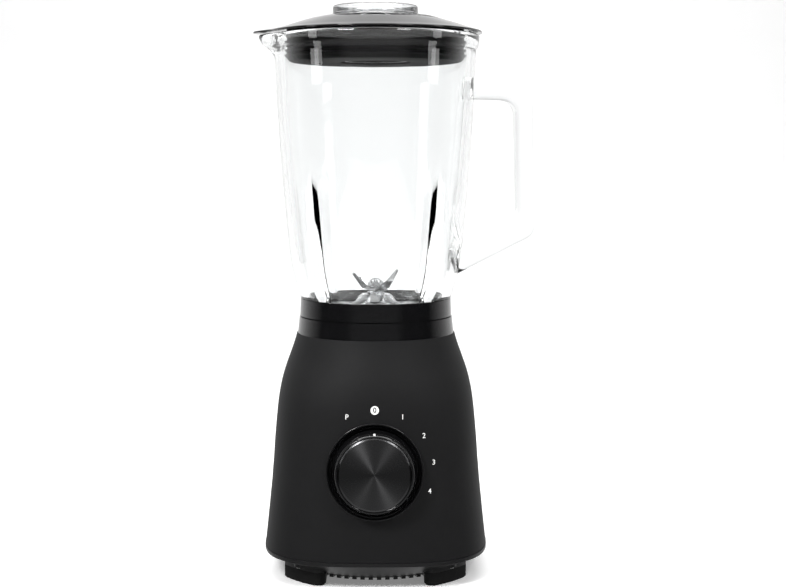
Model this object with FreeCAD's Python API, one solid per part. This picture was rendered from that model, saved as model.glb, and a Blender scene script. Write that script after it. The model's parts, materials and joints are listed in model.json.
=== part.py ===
import FreeCAD
import Part
import math
import os

Vector = FreeCAD.Vector
Rotation = FreeCAD.Rotation
Placement = FreeCAD.Placement

# A countertop blender. Millimetres, +Z up, the origin on the table under the blade axis.
# The dial faces -Y, the jug's handle points along +X and its spout along -X.

# ---- Driving sizes -------------------------------------------------------------------------

# Matte body shell: round at the top, a soft square at the bottom.
SHELL_BOTTOM = 19.7
SHELL_HEIGHT = 144.8
SHELL_BASE_HALF_WIDTH = 77.0
SHELL_TOP_RADIUS = 55.1
SHELL_WALL = 2.6
TOP_PLATE = 3.0
# Share of the height, share of the step from top radius to base half width, squareness.
SHELL_PROFILE = (
    (0.0, 1.0, 3.0),
    (0.1, 0.93, 2.98),
    (0.2, 0.862, 2.94),
    (0.3, 0.796, 2.88),
    (0.4, 0.742, 2.8),
    (0.5, 0.698, 2.72),
    (0.6, 0.643, 2.62),
    (0.7, 0.57, 2.5),
    (0.8, 0.437, 2.3),
    (0.9, 0.214, 2.1),
    (1.0, 0.0, 2.0),
)
OUTLINE_POINTS = 32

# Bottom cover and feet.
LIP_HEIGHT = 2.4
LIP_PROUD = 0.3
COVER_TAPER_INSET = 1.2
COVER_WALL = 2.6
COVER_FLOOR_TOP = 11.4
COVER_FLOOR_BOTTOM = 7.0
TOOTH_RING_INSET = 12.5
TOOTH_RING_RADIUS = SHELL_BASE_HALF_WIDTH - TOOTH_RING_INSET
TOOTH_RING_STEP = 0.5
TOOTH_RING_WIDTH = 3.6
TOOTH_RING_DROP = 2.2
TOOTH_PITCH = 5.6
TOOTH_GAP = 2.6
TOOTH_HEIGHT = 1.5
FOOT_HEIGHT = 9.0
FOOT_INSET = 13.5
FOOT_SIDE = 30.5
FOOT_OUTER_SIDE = SHELL_BASE_HALF_WIDTH - FOOT_INSET
FOOT_INNER_SIDE = FOOT_OUTER_SIDE - FOOT_SIDE
FOOT_CLIP_INSET = 3.0
FOOT_CLIP_RADIUS = SHELL_BASE_HALF_WIDTH - FOOT_CLIP_INSET
FOOT_CORNER = 5.5
VENT_SLOTS = 16
VENT_SLOT_WIDTH = 3.0
VENT_INNER_RADIUS = 16.0
VENT_OUTER_RADIUS = 38.0
SCREW_COLUMN_INSET = 27.0
SCREW_COLUMN_AT = SHELL_BASE_HALF_WIDTH - SCREW_COLUMN_INSET
SCREW_COLUMN_RADIUS = 5.0
SCREW_COLUMN_HEIGHT = 20.0
SCREW_RADIUS = 1.6
SCREW_HEAD_RADIUS = 3.5
SCREW_HEAD_HEIGHT = 2.4
HOLE_PLAY = 0.4

# Seat deck: the gloss ring on the body and the recess that the jug stands in.
DECK_RING_HEIGHT = 11.6
DECK_RING_BASE_RADIUS = 54.5
DECK_RING_TOP_RADIUS = 53.3
DECK_FLOOR = 3.0
DECK_HOLE_RADIUS = 8.5
POST_CIRCLE = 38.0
POST_RADIUS = 4.2
POST_HEIGHT = 6.0
SHAFT_HOLE_RADIUS = 12.0

# Jug collar and blade holder.
COLLAR_GAP = 0.5
COLLAR_HEIGHT = 12.3
COLLAR_BOTTOM_RADIUS = 52.9
COLLAR_TOP_RADIUS = 52.4
COLLAR_BORE_RADIUS = 50.2
SKIRT_RADIUS = 47.0
SKIRT_WALL = 2.8
SEAT_GAP = 0.3
LEDGE = 2.4
LUG_THICKNESS = 3.6
LUG_REACH = 5.0
LUG_TURN = 10.4
HOLDER_FLANGE = 2.0
GASKET = 1.6
HOLDER_DOME_HEIGHT = 11.0
HOLDER_DOME_RADIUS = 10.0
HOLDER_DOME_FOOT = 19.0
HOLDER_RIDGE_RADIUS = 27.0
BEARING_TUBE_RADIUS = 8.6
BUSH_RADIUS = 6.4
BUSH_LENGTH = 4.6

# Glass jug.
JUG_SIDE_HEIGHT = 170.2
JUG_SHOULDER_RADIUS = 52.6
JUG_TOP_RADIUS = 69.4
JUG_WALL = 6.2
NECK_INNER_RADIUS = 43.4
RIM_BEAD = 2.2
RIM_HEIGHT = 10.6
# Share of the side's height, share of the step from shoulder radius to top radius.
JUG_PROFILE = (
    (0.0, 0.0),
    (0.034, 0.11),
    (0.1, 0.3),
    (0.166, 0.417),
    (0.363, 0.605),
    (0.559, 0.765),
    (0.78, 0.9),
    (1.0, 1.0),
)
RIB_TOP_SHARE = 0.56
RIB_WIDTH = 12.0
RIB_DEPTH = 5.2
SPOUT_REACH = 80.5
SPOUT_ROOT_HALF_WIDTH = 17.0
SPOUT_TIP_HALF_WIDTH = 5.0
SPOUT_WALL = 3.4
HANDLE_WIDTH = 22.0
HANDLE_REACH = 110.2
HANDLE_GRIP = 12.6
HANDLE_TOP_DROP = 29.8
HANDLE_UPPER_ARM = 15.4
HANDLE_LOWER_ROOT_RISE = 14.3
HANDLE_LOWER_ARM_DROP = 28.5
HANDLE_EDGE = 4.4

# Lid and measuring cup.
LID_OVERHANG = 1.8
LID_FLANGE_RADIUS = JUG_TOP_RADIUS + RIM_BEAD + LID_OVERHANG
LID_FLANGE_EDGE = 1.1
LID_GAP = 0.9
LID_RISE = 11.7
LID_WALL = 2.4
LID_TONGUE_OVERHANG = 3.8
LID_TONGUE_REACH = SPOUT_REACH + LID_TONGUE_OVERHANG
LID_TONGUE_HALF_WIDTH = 20.0
PLUG_CLEARANCE = 3.2
PLUG_RADIUS = JUG_TOP_RADIUS - JUG_WALL - PLUG_CLEARANCE
PLUG_DEPTH = 18.8
PLUG_WALL = 2.6
SEAL_CLEARANCE = 0.35
SEAL_LIP = 1.3
CUP_HEAD_RADIUS = 29.4
CUP_HEAD_HEIGHT = 6.0
CUP_RADIUS = 24.0
CUP_WALL = 2.2
CUP_PLAY = 0.4
SLEEVE_WALL = 2.2

# Blades and couplings.
BLADE_SHAFT_RADIUS = 4.0
BLADE_THICKNESS = 1.2
BLADE_WIDTH = 9.0
UPPER_BLADE_SPAN = 24.0
SERRATED_BLADE_SPAN = 21.0
LOWER_BLADE_SPAN = 30.0
COUPLING_RADIUS = 9.4
COUPLING_LOBES = 6
COUPLING_LOBE_RADIUS = 2.4
COUPLING_PLAY = 0.5
DRIVEN_RADIUS = 14.0
COUPLING_HEIGHT = 7.4
RUNNING_CLEARANCE = 0.05
BLADE_SEAT_GAP = 0.6
WASHER_THICKNESS = 1.0
NUT_WASHER = 0.8
NUT_CAP = 1.2
NUT_HEIGHT = 5.0
NUT_RADIUS = 5.6
DRIVEN_LIFT = 2.2
SOCKET_DEPTH = 0.4

# Motor, hung from the top plate.
MOTOR_BOSS_X = 45.0
MOTOR_BOSS_Y = 14.0
MOTOR_BOSS_RADIUS = 5.0
MOTOR_BOSS_LENGTH = 22.0
GROMMET_THICKNESS = 6.0
GROMMET_RADIUS = 6.0
BRACKET_THICKNESS = 3.0
CORE_STACK = 30.0
CORE_WIDTH = 84.0
CORE_DEPTH = 70.0
CORE_RIM = 9.0
CORE_CORNER = 10.0
POLE_HALF_WIDTH = 10.0
POLE_SHOE = 5.0
ARMATURE_RADIUS = 20.4
AIR_GAP = 0.6
ARMATURE_SLOTS = 12
LEG_RADIUS = 4.2
UPPER_LEG = 16.0
LOWER_LEG = 29.5
BOLT_INSET = 4.5
BOLT_RADIUS = 2.0
MOTOR_SHAFT_RADIUS = 4.0
BEARING_RADIUS = 11.0
BEARING_HEIGHT = 7.0
COMMUTATOR_RADIUS = 11.0
COMMUTATOR_HEIGHT = 13.0
COMMUTATOR_BARS = 16
FAN_RADIUS = 30.0
FAN_HEIGHT = 13.0
FAN_BLADES = 9
BRUSH_SIDE = 6.0
BRUSH_LENGTH = 17.0
BRUSH_GAP = 0.3
BRUSH_REAR_WALL = 2.6
COMMUTATOR_RISER = 1.8
COMMUTATOR_LIFT = 8.0
FAN_GAP = 2.0

# Dial on the front wall.
KNOB_HEIGHT = 79.6
KNOB_TILT = 4.0
KNOB_RADIUS = 28.2
BEZEL_PLAY = 0.4
BEZEL_BARREL_WALL = 0.7
BEZEL_BARREL_RADIUS = KNOB_RADIUS + BEZEL_PLAY + BEZEL_BARREL_WALL
BEZEL_DISH = 3.0
BEZEL_RADIUS = BEZEL_BARREL_RADIUS + BEZEL_DISH
BEZEL_PROUD = 1.6
BEZEL_DEPTH = 8.0
KNOB_TAPER = 2.2
KNOB_FRONT_RADIUS = KNOB_RADIUS - KNOB_TAPER
KNOB_PROUD = 14.0
KNOB_GAP = 0.5
KNOB_WALL = 2.2
KNOB_LIP = 1.7
DISC_RADIUS = KNOB_FRONT_RADIUS - KNOB_LIP
DISC_THICKNESS = 1.4
SWITCH_SIDE = 32.0
SWITCH_DEPTH = 18.0
SWITCH_SHAFT_RADIUS = 3.0
TERMINALS = 5
SWITCH_NECK_RADIUS = 5.0
KNOB_HUB_RADIUS = 5.6
KNOB_HUB_LIFT = 4.4
KNOB_CAP = 5.0
POINTER_WIDTH = 1.5

# Interlock and cord inlet.
INTERLOCK_PIN_RADIUS = 2.0
INTERLOCK_TRAVEL = 3.0
INTERLOCK_BODY = (16.0, 11.0, 18.0)
GLAND_HEIGHT = 34.0
GLAND_BORE_RADIUS = 4.0
GLAND_NECK_RADIUS = 6.6
GLAND_FLANGE_RADIUS = 9.5
GLAND_LENGTH = 12.0
INTERLOCK_WALL = 3.0
PIN_FLANGE = 1.4
PIN_FLANGE_LIFT = 6.0
SHELL_SEAM = 0.2
COLUMN_LIFT = 4.6
COUPLING_LIFT = 1.0
BUSH_INSET = 1.0
UPPER_BUSH_DROP = 2.0

# ---- Levels worked out from the driving sizes ----------------------------------------------

BODY_TOP = SHELL_BOTTOM + SHELL_HEIGHT
PLATE_UNDER = BODY_TOP - TOP_PLATE
DECK_FLOOR_TOP = BODY_TOP + DECK_FLOOR
DECK_TOP = BODY_TOP + DECK_RING_HEIGHT
COLLAR_BOTTOM = DECK_TOP + COLLAR_GAP
COLLAR_TOP = COLLAR_BOTTOM + COLLAR_HEIGHT
SKIRT_BOTTOM = DECK_FLOOR_TOP + SEAT_GAP
LEDGE_TOP = COLLAR_BOTTOM + LEDGE
FLANGE_TOP = LEDGE_TOP + HOLDER_FLANGE
NECK_BOTTOM = FLANGE_TOP + GASKET
SHOULDER = COLLAR_TOP + SEAT_GAP
JUG_SIDE_TOP = SHOULDER + JUG_SIDE_HEIGHT
RIM_TOP = JUG_SIDE_TOP + RIM_HEIGHT
HOLDER_TOP = FLANGE_TOP + HOLDER_DOME_HEIGHT
LID_EDGE_TOP = RIM_TOP + LID_GAP + LID_FLANGE_EDGE
LID_TOP = LID_EDGE_TOP + LID_RISE
PLUG_BOTTOM = RIM_TOP - PLUG_DEPTH
CUP_HEAD_BOTTOM = LID_TOP + SEAT_GAP

COUPLING_BOTTOM = DECK_FLOOR_TOP + COUPLING_LIFT
COUPLING_TOP = COUPLING_BOTTOM + COUPLING_HEIGHT

BOSS_BOTTOM = PLATE_UNDER - MOTOR_BOSS_LENGTH
UPPER_PLATE_TOP = BOSS_BOTTOM - GROMMET_THICKNESS
UPPER_PLATE_BOTTOM = UPPER_PLATE_TOP - BRACKET_THICKNESS
CORE_TOP = UPPER_PLATE_BOTTOM - UPPER_LEG
CORE_BOTTOM = CORE_TOP - CORE_STACK
LOWER_PLATE_TOP = CORE_BOTTOM - LOWER_LEG
LOWER_PLATE_BOTTOM = LOWER_PLATE_TOP - BRACKET_THICKNESS
COMMUTATOR_BOTTOM = LOWER_PLATE_TOP + COMMUTATOR_LIFT
COMMUTATOR_TOP = COMMUTATOR_BOTTOM + COMMUTATOR_HEIGHT
FAN_TOP = LOWER_PLATE_BOTTOM - FAN_GAP
FAN_BOTTOM = FAN_TOP - FAN_HEIGHT
MOTOR_SHAFT_BOTTOM = FAN_BOTTOM - FAN_GAP
BOLT_X = CORE_WIDTH / 2 - BOLT_INSET
BOLT_Y = CORE_DEPTH / 2 - BOLT_INSET

COVER_TOP = SHELL_BOTTOM - SHELL_SEAM
LIP_BOTTOM = COVER_TOP - LIP_HEIGHT
COLUMN_BOTTOM = SHELL_BOTTOM + COLUMN_LIFT
PIN_CIRCLE = SKIRT_RADIUS - SKIRT_WALL / 2

LOWER_BUSH = LEDGE_TOP + BUSH_INSET
UPPER_BUSH = HOLDER_TOP - UPPER_BUSH_DROP - BUSH_LENGTH
BLADE_SEAT = HOLDER_TOP + BLADE_SEAT_GAP
BLADE_LEVELS = (
    BLADE_SEAT + WASHER_THICKNESS,
    BLADE_SEAT + WASHER_THICKNESS + BLADE_THICKNESS,
    BLADE_SEAT + WASHER_THICKNESS + 2 * BLADE_THICKNESS,
)
BLADES_TOP = BLADE_SEAT + WASHER_THICKNESS + 3 * BLADE_THICKNESS
NUT_BOTTOM = BLADES_TOP + NUT_WASHER
SHAFT_TOP = BLADES_TOP + NUT_HEIGHT - NUT_CAP
DRIVEN_BOTTOM = COUPLING_BOTTOM + DRIVEN_LIFT
DRIVEN_TOP = LEDGE_TOP + 0.2
SOCKET_TOP = COUPLING_TOP - SOCKET_DEPTH
CLIP_LEVEL = DRIVEN_TOP + 0.1

SWITCH_FRONT = -BEZEL_DEPTH
KNOB_HUB_BACK = SWITCH_FRONT + KNOB_HUB_LIFT
KNOB_BORE_TOP = KNOB_PROUD - KNOB_CAP
UPPER_BEARING = UPPER_PLATE_TOP - BEARING_HEIGHT - 1.0
LOWER_BEARING = LOWER_PLATE_BOTTOM + 1.2
BRUSH_LEVEL = (COMMUTATOR_BOTTOM + COMMUTATOR_TOP - COMMUTATOR_RISER) / 2
BRUSH_FRONT = COMMUTATOR_RADIUS + BRUSH_GAP
INTERLOCK_FLOOR = PLATE_UNDER - INTERLOCK_BODY[2] + INTERLOCK_WALL
FLANGE_LEVEL = INTERLOCK_FLOOR + PIN_FLANGE_LIFT

parts = {}


# ---- Small helpers -------------------------------------------------------------------------

def rod(radius, bottom, top, x=0.0, y=0.0):
    """An upright cylinder."""
    return Part.makeCylinder(radius, top - bottom, Vector(x, y, bottom))


def ring(inner, outer, bottom, top, x=0.0, y=0.0):
    """An upright tube."""
    return rod(outer, bottom, top, x, y).cut(rod(inner, bottom - 1, top + 1, x, y))


def block(width, depth, bottom, top, x=0.0, y=0.0):
    """A box centred on x, y."""
    corner = Vector(x - width / 2, y - depth / 2, bottom)
    return Part.makeBox(width, depth, top - bottom, corner)


def turned(outline):
    """A solid of revolution about Z from straight (radius, height) corners."""
    corners = [Vector(radius, 0, height) for radius, height in outline]
    corners.append(corners[0])
    face = Part.Face(Part.makePolygon(corners))
    return face.revolve(Vector(0, 0, 0), Vector(0, 0, 1), 360)


def spline_edge(points):
    curve = Part.BSplineCurve()
    curve.interpolate(points)
    return curve.toShape()


def line_edge(start, end):
    return Part.LineSegment(start, end).toShape()


def turned_edges(edges):
    """A solid of revolution about Z from joined edges that close in the XZ plane."""
    face = Part.Face(Part.Wire(Part.__sortEdges__(edges)))
    return face.revolve(Vector(0, 0, 0), Vector(0, 0, 1), 360)


def value_at(table, share, column):
    """Read one column of a profile table between its rows."""
    for low, high in zip(table, table[1:]):
        if share <= high[0]:
            part = (share - low[0]) / (high[0] - low[0])
            return low[column] + part * (high[column] - low[column])
    return table[-1][column]


def spun(shape, angle, centre=Vector(0, 0, 0), axis=Vector(0, 0, 1)):
    """A copy turned by an angle in degrees."""
    turned_copy = shape.copy()
    turned_copy.rotate(centre, axis, angle)
    return turned_copy


def moved(shape, x, y, z=0.0):
    shifted = shape.copy()
    shifted.translate(Vector(x, y, z))
    return shifted


def around(shape, count, first=0.0):
    """Copies spaced evenly about the Z axis."""
    return [spun(shape, first + 360.0 * step / count) for step in range(count)]


def at_corners(shape, x, y):
    """Four copies, one in each quarter."""
    places = [(x, y), (-x, y), (-x, -y), (x, -y)]
    return [moved(shape, place_x, place_y) for place_x, place_y in places]


def fused(shapes):
    """One solid from several that touch or overlap."""
    whole = shapes[0].multiFuse(shapes[1:])
    return whole.removeSplitter()


def rounded_outline(corners):
    """A closed wire in the XZ plane through (x, z, radius) corners, each rounded by its radius."""
    points = [Vector(x, 0, z) for x, z, radius in corners]
    count = len(points)
    edges = []
    starts = []
    ends = []
    for index, corner in enumerate(points):
        radius = corners[index][2]
        before = (points[index - 1] - corner).normalize()
        after = (points[(index + 1) % count] - corner).normalize()
        if radius == 0:
            starts.append(corner)
            ends.append(corner)
            continue
        half_turn = before.getAngle(after) / 2
        setback = radius / math.tan(half_turn)
        middle_way = (before + after).normalize()
        centre = corner + middle_way * (radius / math.sin(half_turn))
        starts.append(corner + before * setback)
        ends.append(corner + after * setback)
        edges.append(Part.Arc(starts[-1], centre - middle_way * radius, ends[-1]).toShape())
    for index in range(count):
        edges.append(line_edge(ends[index], starts[(index + 1) % count]))
    return Part.Wire(Part.__sortEdges__(edges))


def edges_along(shape, direction):
    """The straight edges of a shape that run along a direction."""
    found = []
    for edge in shape.Edges:
        if not isinstance(edge.Curve, Part.Line):
            continue
        if abs(edge.tangentAt(edge.FirstParameter).dot(direction)) > 0.999:
            found.append(edge)
    return found


# ---- Body shell ----------------------------------------------------------------------------

def superellipse(half_width, squareness, height):
    """A smooth closed wire between a circle (squareness 2) and a soft square (3 and more)."""
    points = []
    for step in range(OUTLINE_POINTS):
        angle = 2 * math.pi * step / OUTLINE_POINTS
        reach = abs(math.cos(angle)) ** squareness + abs(math.sin(angle)) ** squareness
        radius = half_width / reach ** (1 / squareness)
        points.append(Vector(radius * math.cos(angle), radius * math.sin(angle), height))
    curve = Part.BSplineCurve()
    curve.interpolate(Points=points, PeriodicFlag=True)
    return Part.Wire(curve.toShape())


def shell_half_width(height):
    share = (height - SHELL_BOTTOM) / SHELL_HEIGHT
    step = SHELL_BASE_HALF_WIDTH - SHELL_TOP_RADIUS
    return SHELL_TOP_RADIUS + step * value_at(SHELL_PROFILE, share, 1)


def shell_squareness(height):
    return value_at(SHELL_PROFILE, (height - SHELL_BOTTOM) / SHELL_HEIGHT, 2)


def shell_form(inset, bottom, top):
    """The shell's outer form, shrunk sideways by inset, between two heights."""
    spacing = SHELL_HEIGHT / 20
    heights = [bottom]
    for share, width_share, squareness in SHELL_PROFILE:
        height = SHELL_BOTTOM + share * SHELL_HEIGHT
        if bottom + spacing < height < top - spacing:
            heights.append(height)
    heights.append(top)
    wires = []
    for height in heights:
        wires.append(superellipse(shell_half_width(height) - inset, shell_squareness(height), height))
    return Part.makeLoft(wires, True, False)


def prism(half_width, squareness, bottom, top):
    face = Part.Face(superellipse(half_width, squareness, bottom))
    return face.extrude(Vector(0, 0, top - bottom))


def on_front(shape):
    """Place a shape made about +Z so that it points out of the front wall at the dial."""
    placed = shape.copy()
    centre = Vector(0, -shell_half_width(KNOB_HEIGHT), KNOB_HEIGHT)
    placed.Placement = Placement(centre, Rotation(Vector(1, 0, 0), 90 - KNOB_TILT))
    return placed


def on_back(shape):
    """Place a shape made about +Z so that it points out of the back wall at the cord inlet."""
    placed = shape.copy()
    centre = Vector(0, shell_half_width(GLAND_HEIGHT), GLAND_HEIGHT)
    placed.Placement = Placement(centre, Rotation(Vector(1, 0, 0), -90))
    return placed


def body_shell():
    outer = shell_form(0.0, SHELL_BOTTOM, BODY_TOP)
    inner = shell_form(SHELL_WALL, SHELL_BOTTOM, PLATE_UNDER)
    shell = outer.cut(inner)

    column_top = COLUMN_BOTTOM + SCREW_COLUMN_HEIGHT
    column = rod(SCREW_COLUMN_RADIUS, COLUMN_BOTTOM, column_top)
    columns = at_corners(column, SCREW_COLUMN_AT, SCREW_COLUMN_AT)
    web_length = SHELL_BASE_HALF_WIDTH / 3
    web = block(web_length, 2.4, COLUMN_BOTTOM, column_top, SCREW_COLUMN_AT * math.sqrt(2) + web_length / 2)
    webs = [piece.common(outer) for piece in around(web, 4, 45.0)]
    boss = rod(MOTOR_BOSS_RADIUS, BOSS_BOTTOM, PLATE_UNDER + 0.5)
    bosses = at_corners(boss, MOTOR_BOSS_X, MOTOR_BOSS_Y)
    shell = fused([shell] + columns + webs + bosses)

    pilot = rod(SCREW_RADIUS, COLUMN_BOTTOM - 1, column_top - 3)
    holes = at_corners(pilot, SCREW_COLUMN_AT, SCREW_COLUMN_AT)
    boss_pilot = rod(SCREW_RADIUS, BOSS_BOTTOM - 1, PLATE_UNDER - 4)
    holes += at_corners(boss_pilot, MOTOR_BOSS_X, MOTOR_BOSS_Y)
    seat_hole = rod(SCREW_RADIUS + HOLE_PLAY, PLATE_UNDER - 1, BODY_TOP + 1, POST_CIRCLE)
    holes += around(seat_hole, 4, 45.0)
    holes.append(rod(SHAFT_HOLE_RADIUS, PLATE_UNDER - 1, BODY_TOP + 1))
    holes.append(rod(INTERLOCK_PIN_RADIUS + HOLE_PLAY, PLATE_UNDER - 1, BODY_TOP + 1, 0, PIN_CIRCLE))
    holes.append(on_front(rod(BEZEL_BARREL_RADIUS + SEAT_GAP, -20, 20)))
    holes.append(on_back(rod(GLAND_NECK_RADIUS + HOLE_PLAY / 2, -12, 12)))
    return shell.cut(holes)


# ---- Bottom cover and feet -----------------------------------------------------------------


def foot_plan(bottom, top, shrink=0.0):
    """The plan shape of one foot, as a prism between two heights."""
    side = FOOT_OUTER_SIDE - FOOT_INNER_SIDE - 2 * FOOT_CORNER
    middle = (FOOT_OUTER_SIDE + FOOT_INNER_SIDE) / 2
    core = block(side, side, bottom, top, middle, middle)
    core = core.common(rod(FOOT_CLIP_RADIUS - FOOT_CORNER, bottom, top))
    lowest = min(core.Faces, key=lambda face: face.CenterOfMass.z)
    outline = lowest.OuterWire.makeOffset2D(FOOT_CORNER - shrink)
    return Part.Face(outline).extrude(Vector(0, 0, top - bottom))


def in_quarters(shape):
    return around(shape, 4)


def bottom_cover():
    squareness = shell_squareness(SHELL_BOTTOM)
    half_width = SHELL_BASE_HALF_WIDTH
    lip = prism(half_width + LIP_PROUD, squareness, LIP_BOTTOM, COVER_TOP)
    taper_top = superellipse(half_width - COVER_TAPER_INSET, squareness, LIP_BOTTOM)
    taper_bottom = superellipse(TOOTH_RING_RADIUS, 2.0, COVER_FLOOR_BOTTOM)
    taper = Part.makeLoft([taper_top, taper_bottom], True, True)
    hollow_top = superellipse(half_width - SHELL_WALL - COVER_WALL, squareness, COVER_TOP + 0.1)
    hollow_bottom = superellipse(TOOTH_RING_RADIUS - COVER_WALL, 2.0, COVER_FLOOR_TOP)
    hollow = Part.makeLoft([hollow_top, hollow_bottom], True, True)

    tongue_top = SHELL_BOTTOM + 3.4
    tongue_half = shell_half_width(tongue_top) - SHELL_WALL - SEAT_GAP
    tongue = prism(tongue_half, squareness, COVER_TOP - 1.5, tongue_top)
    tongue = tongue.cut(prism(tongue_half - 2.0, squareness, COVER_TOP - 2, tongue_top + 1))
    pads = in_quarters(foot_plan(FOOT_HEIGHT, LIP_BOTTOM))
    ring_bottom = COVER_FLOOR_BOTTOM - TOOTH_RING_DROP
    ring_top = COVER_FLOOR_BOTTOM + 1.0
    tooth_radius = TOOTH_RING_RADIUS - TOOTH_RING_STEP
    tooth_ring = ring(tooth_radius - TOOTH_RING_WIDTH, tooth_radius, ring_bottom, ring_top)
    teeth = round(2 * math.pi * TOOTH_RING_RADIUS / TOOTH_PITCH)
    notch_width = 4 * TOOTH_RING_WIDTH
    notch = block(notch_width, TOOTH_GAP, ring_bottom - 1, ring_bottom + TOOTH_HEIGHT, TOOTH_RING_RADIUS)
    tooth_ring = tooth_ring.cut(around(notch, teeth))
    feet_room = in_quarters(foot_plan(-1, FOOT_HEIGHT, -SEAT_GAP))

    boss = rod(SCREW_COLUMN_RADIUS, COVER_FLOOR_TOP - 1, COLUMN_BOTTOM)
    bosses = at_corners(boss, SCREW_COLUMN_AT, SCREW_COLUMN_AT)
    shell = fused([fused([lip, taper]), tooth_ring] + pads).cut(hollow)
    cover = fused([shell, tongue] + bosses)
    holes = at_corners(rod(SCREW_RADIUS + HOLE_PLAY, 0, COLUMN_BOTTOM + 1), SCREW_COLUMN_AT, SCREW_COLUMN_AT)
    head_room = rod(SCREW_HEAD_RADIUS + HOLE_PLAY, 0, FOOT_HEIGHT + SCREW_HEAD_HEIGHT + 0.4)
    holes += at_corners(head_room, SCREW_COLUMN_AT, SCREW_COLUMN_AT)
    slot_length = VENT_OUTER_RADIUS - VENT_INNER_RADIUS
    slot_middle = (VENT_OUTER_RADIUS + VENT_INNER_RADIUS) / 2
    slot = block(slot_length, VENT_SLOT_WIDTH, 0, COVER_FLOOR_TOP + 1, slot_middle)
    holes += around(slot, VENT_SLOTS)
    return cover.cut(feet_room).cut(holes)


def rubber_feet():
    sole = 1.0
    pad = foot_plan(sole, FOOT_HEIGHT)
    tread = foot_plan(0, sole, sole)
    return Part.makeCompound(in_quarters(fused([pad, tread])))


def screw(length, pointing_up=True):
    """A pan-head screw with its head's underside at height 0."""
    shank = rod(SCREW_RADIUS - 0.05, 0, length)
    head = rod(SCREW_HEAD_RADIUS, -SCREW_HEAD_HEIGHT, 0)
    drive = block(4.0, 0.9, -SCREW_HEAD_HEIGHT - 1, -SCREW_HEAD_HEIGHT + 1.0)
    cross = fused([drive, spun(drive, 90)])
    whole = fused([shank, head]).cut(cross)
    if pointing_up:
        return whole
    return spun(whole, 180, axis=Vector(1, 0, 0))


def foot_screws():
    under = FOOT_HEIGHT + SCREW_HEAD_HEIGHT + 0.4
    length = COLUMN_BOTTOM - under + SCREW_COLUMN_HEIGHT - 6
    screws = at_corners(screw(length), SCREW_COLUMN_AT, SCREW_COLUMN_AT)
    return Part.makeCompound([moved(piece, 0, 0, under) for piece in screws])


# ---- Seat deck -----------------------------------------------------------------------------

def seat_deck():
    recess_radius = SKIRT_RADIUS + HOLE_PLAY
    outline = [
        (DECK_HOLE_RADIUS, BODY_TOP),
        (DECK_RING_BASE_RADIUS, BODY_TOP),
        (DECK_RING_TOP_RADIUS, DECK_TOP),
        (recess_radius, DECK_TOP),
        (recess_radius, DECK_FLOOR_TOP),
        (DECK_HOLE_RADIUS, DECK_FLOOR_TOP),
    ]
    posts = around(rod(POST_RADIUS, BODY_TOP + 1, DECK_FLOOR_TOP + POST_HEIGHT, POST_CIRCLE), 4, 45.0)
    deck = fused([turned(outline)] + posts)
    pilots = around(rod(SCREW_RADIUS, BODY_TOP - 1, DECK_FLOOR_TOP + POST_HEIGHT - 2, POST_CIRCLE), 4, 45.0)
    pin_reach = SKIRT_BOTTOM + INTERLOCK_TRAVEL + 1
    pin_hole = rod(INTERLOCK_PIN_RADIUS + HOLE_PLAY / 2, BODY_TOP - 1, pin_reach, 0, PIN_CIRCLE)
    return deck.cut(pilots + [pin_hole])


def seat_screws():
    length = TOP_PLATE + DECK_FLOOR + POST_HEIGHT - 3
    one = moved(screw(length), POST_CIRCLE, 0, PLATE_UNDER)
    return Part.makeCompound(around(one, 4, 45.0))


# ---- Jug collar, blade holder and their small parts ----------------------------------------

def jug_collar():
    outline = [
        (SKIRT_RADIUS - SKIRT_WALL, SKIRT_BOTTOM),
        (SKIRT_RADIUS, SKIRT_BOTTOM),
        (SKIRT_RADIUS, COLLAR_BOTTOM),
        (COLLAR_BOTTOM_RADIUS, COLLAR_BOTTOM),
        (COLLAR_TOP_RADIUS, COLLAR_TOP),
        (COLLAR_BORE_RADIUS, COLLAR_TOP),
        (COLLAR_BORE_RADIUS, LEDGE_TOP),
        (SKIRT_RADIUS - SKIRT_WALL, LEDGE_TOP),
    ]
    reach = LUG_REACH + SKIRT_WALL / 2
    middle = SKIRT_RADIUS - SKIRT_WALL / 2 - reach / 2
    lug = block(reach, LUG_THICKNESS, SKIRT_BOTTOM, COLLAR_BOTTOM, middle)
    return fused([turned(outline)] + around(lug, 4, 45.0 - LUG_TURN))


def holder_gasket():
    return ring(NECK_INNER_RADIUS + 0.5, COLLAR_BORE_RADIUS - SEAT_GAP, FLANGE_TOP, NECK_BOTTOM)


def blade_holder():
    """A stamped and turned dish: clamped flange, floor with a ridge, dome and bearing tube."""
    plate = HOLDER_FLANGE
    ridge = 1.6
    outline = [
        (BUSH_RADIUS, HOLDER_TOP),
        (HOLDER_DOME_RADIUS, HOLDER_TOP),
        (HOLDER_DOME_RADIUS + 2.0, HOLDER_TOP - 2.0),
        (HOLDER_DOME_FOOT, FLANGE_TOP),
        (HOLDER_RIDGE_RADIUS - 2.0, FLANGE_TOP),
        (HOLDER_RIDGE_RADIUS - 0.8, FLANGE_TOP + ridge),
        (HOLDER_RIDGE_RADIUS + 0.8, FLANGE_TOP + ridge),
        (HOLDER_RIDGE_RADIUS + 2.0, FLANGE_TOP),
        (COLLAR_BORE_RADIUS - SEAT_GAP, FLANGE_TOP),
        (COLLAR_BORE_RADIUS - SEAT_GAP, LEDGE_TOP),
        (HOLDER_DOME_FOOT - 1.5, LEDGE_TOP),
        (HOLDER_DOME_RADIUS + 0.4, HOLDER_TOP - 2.0 - plate),
        (BEARING_TUBE_RADIUS, HOLDER_TOP - 2.0 - plate),
        (BEARING_TUBE_RADIUS, LEDGE_TOP + 1.0),
        (BUSH_RADIUS, LEDGE_TOP + 1.0),
    ]
    return turned(outline)


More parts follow.
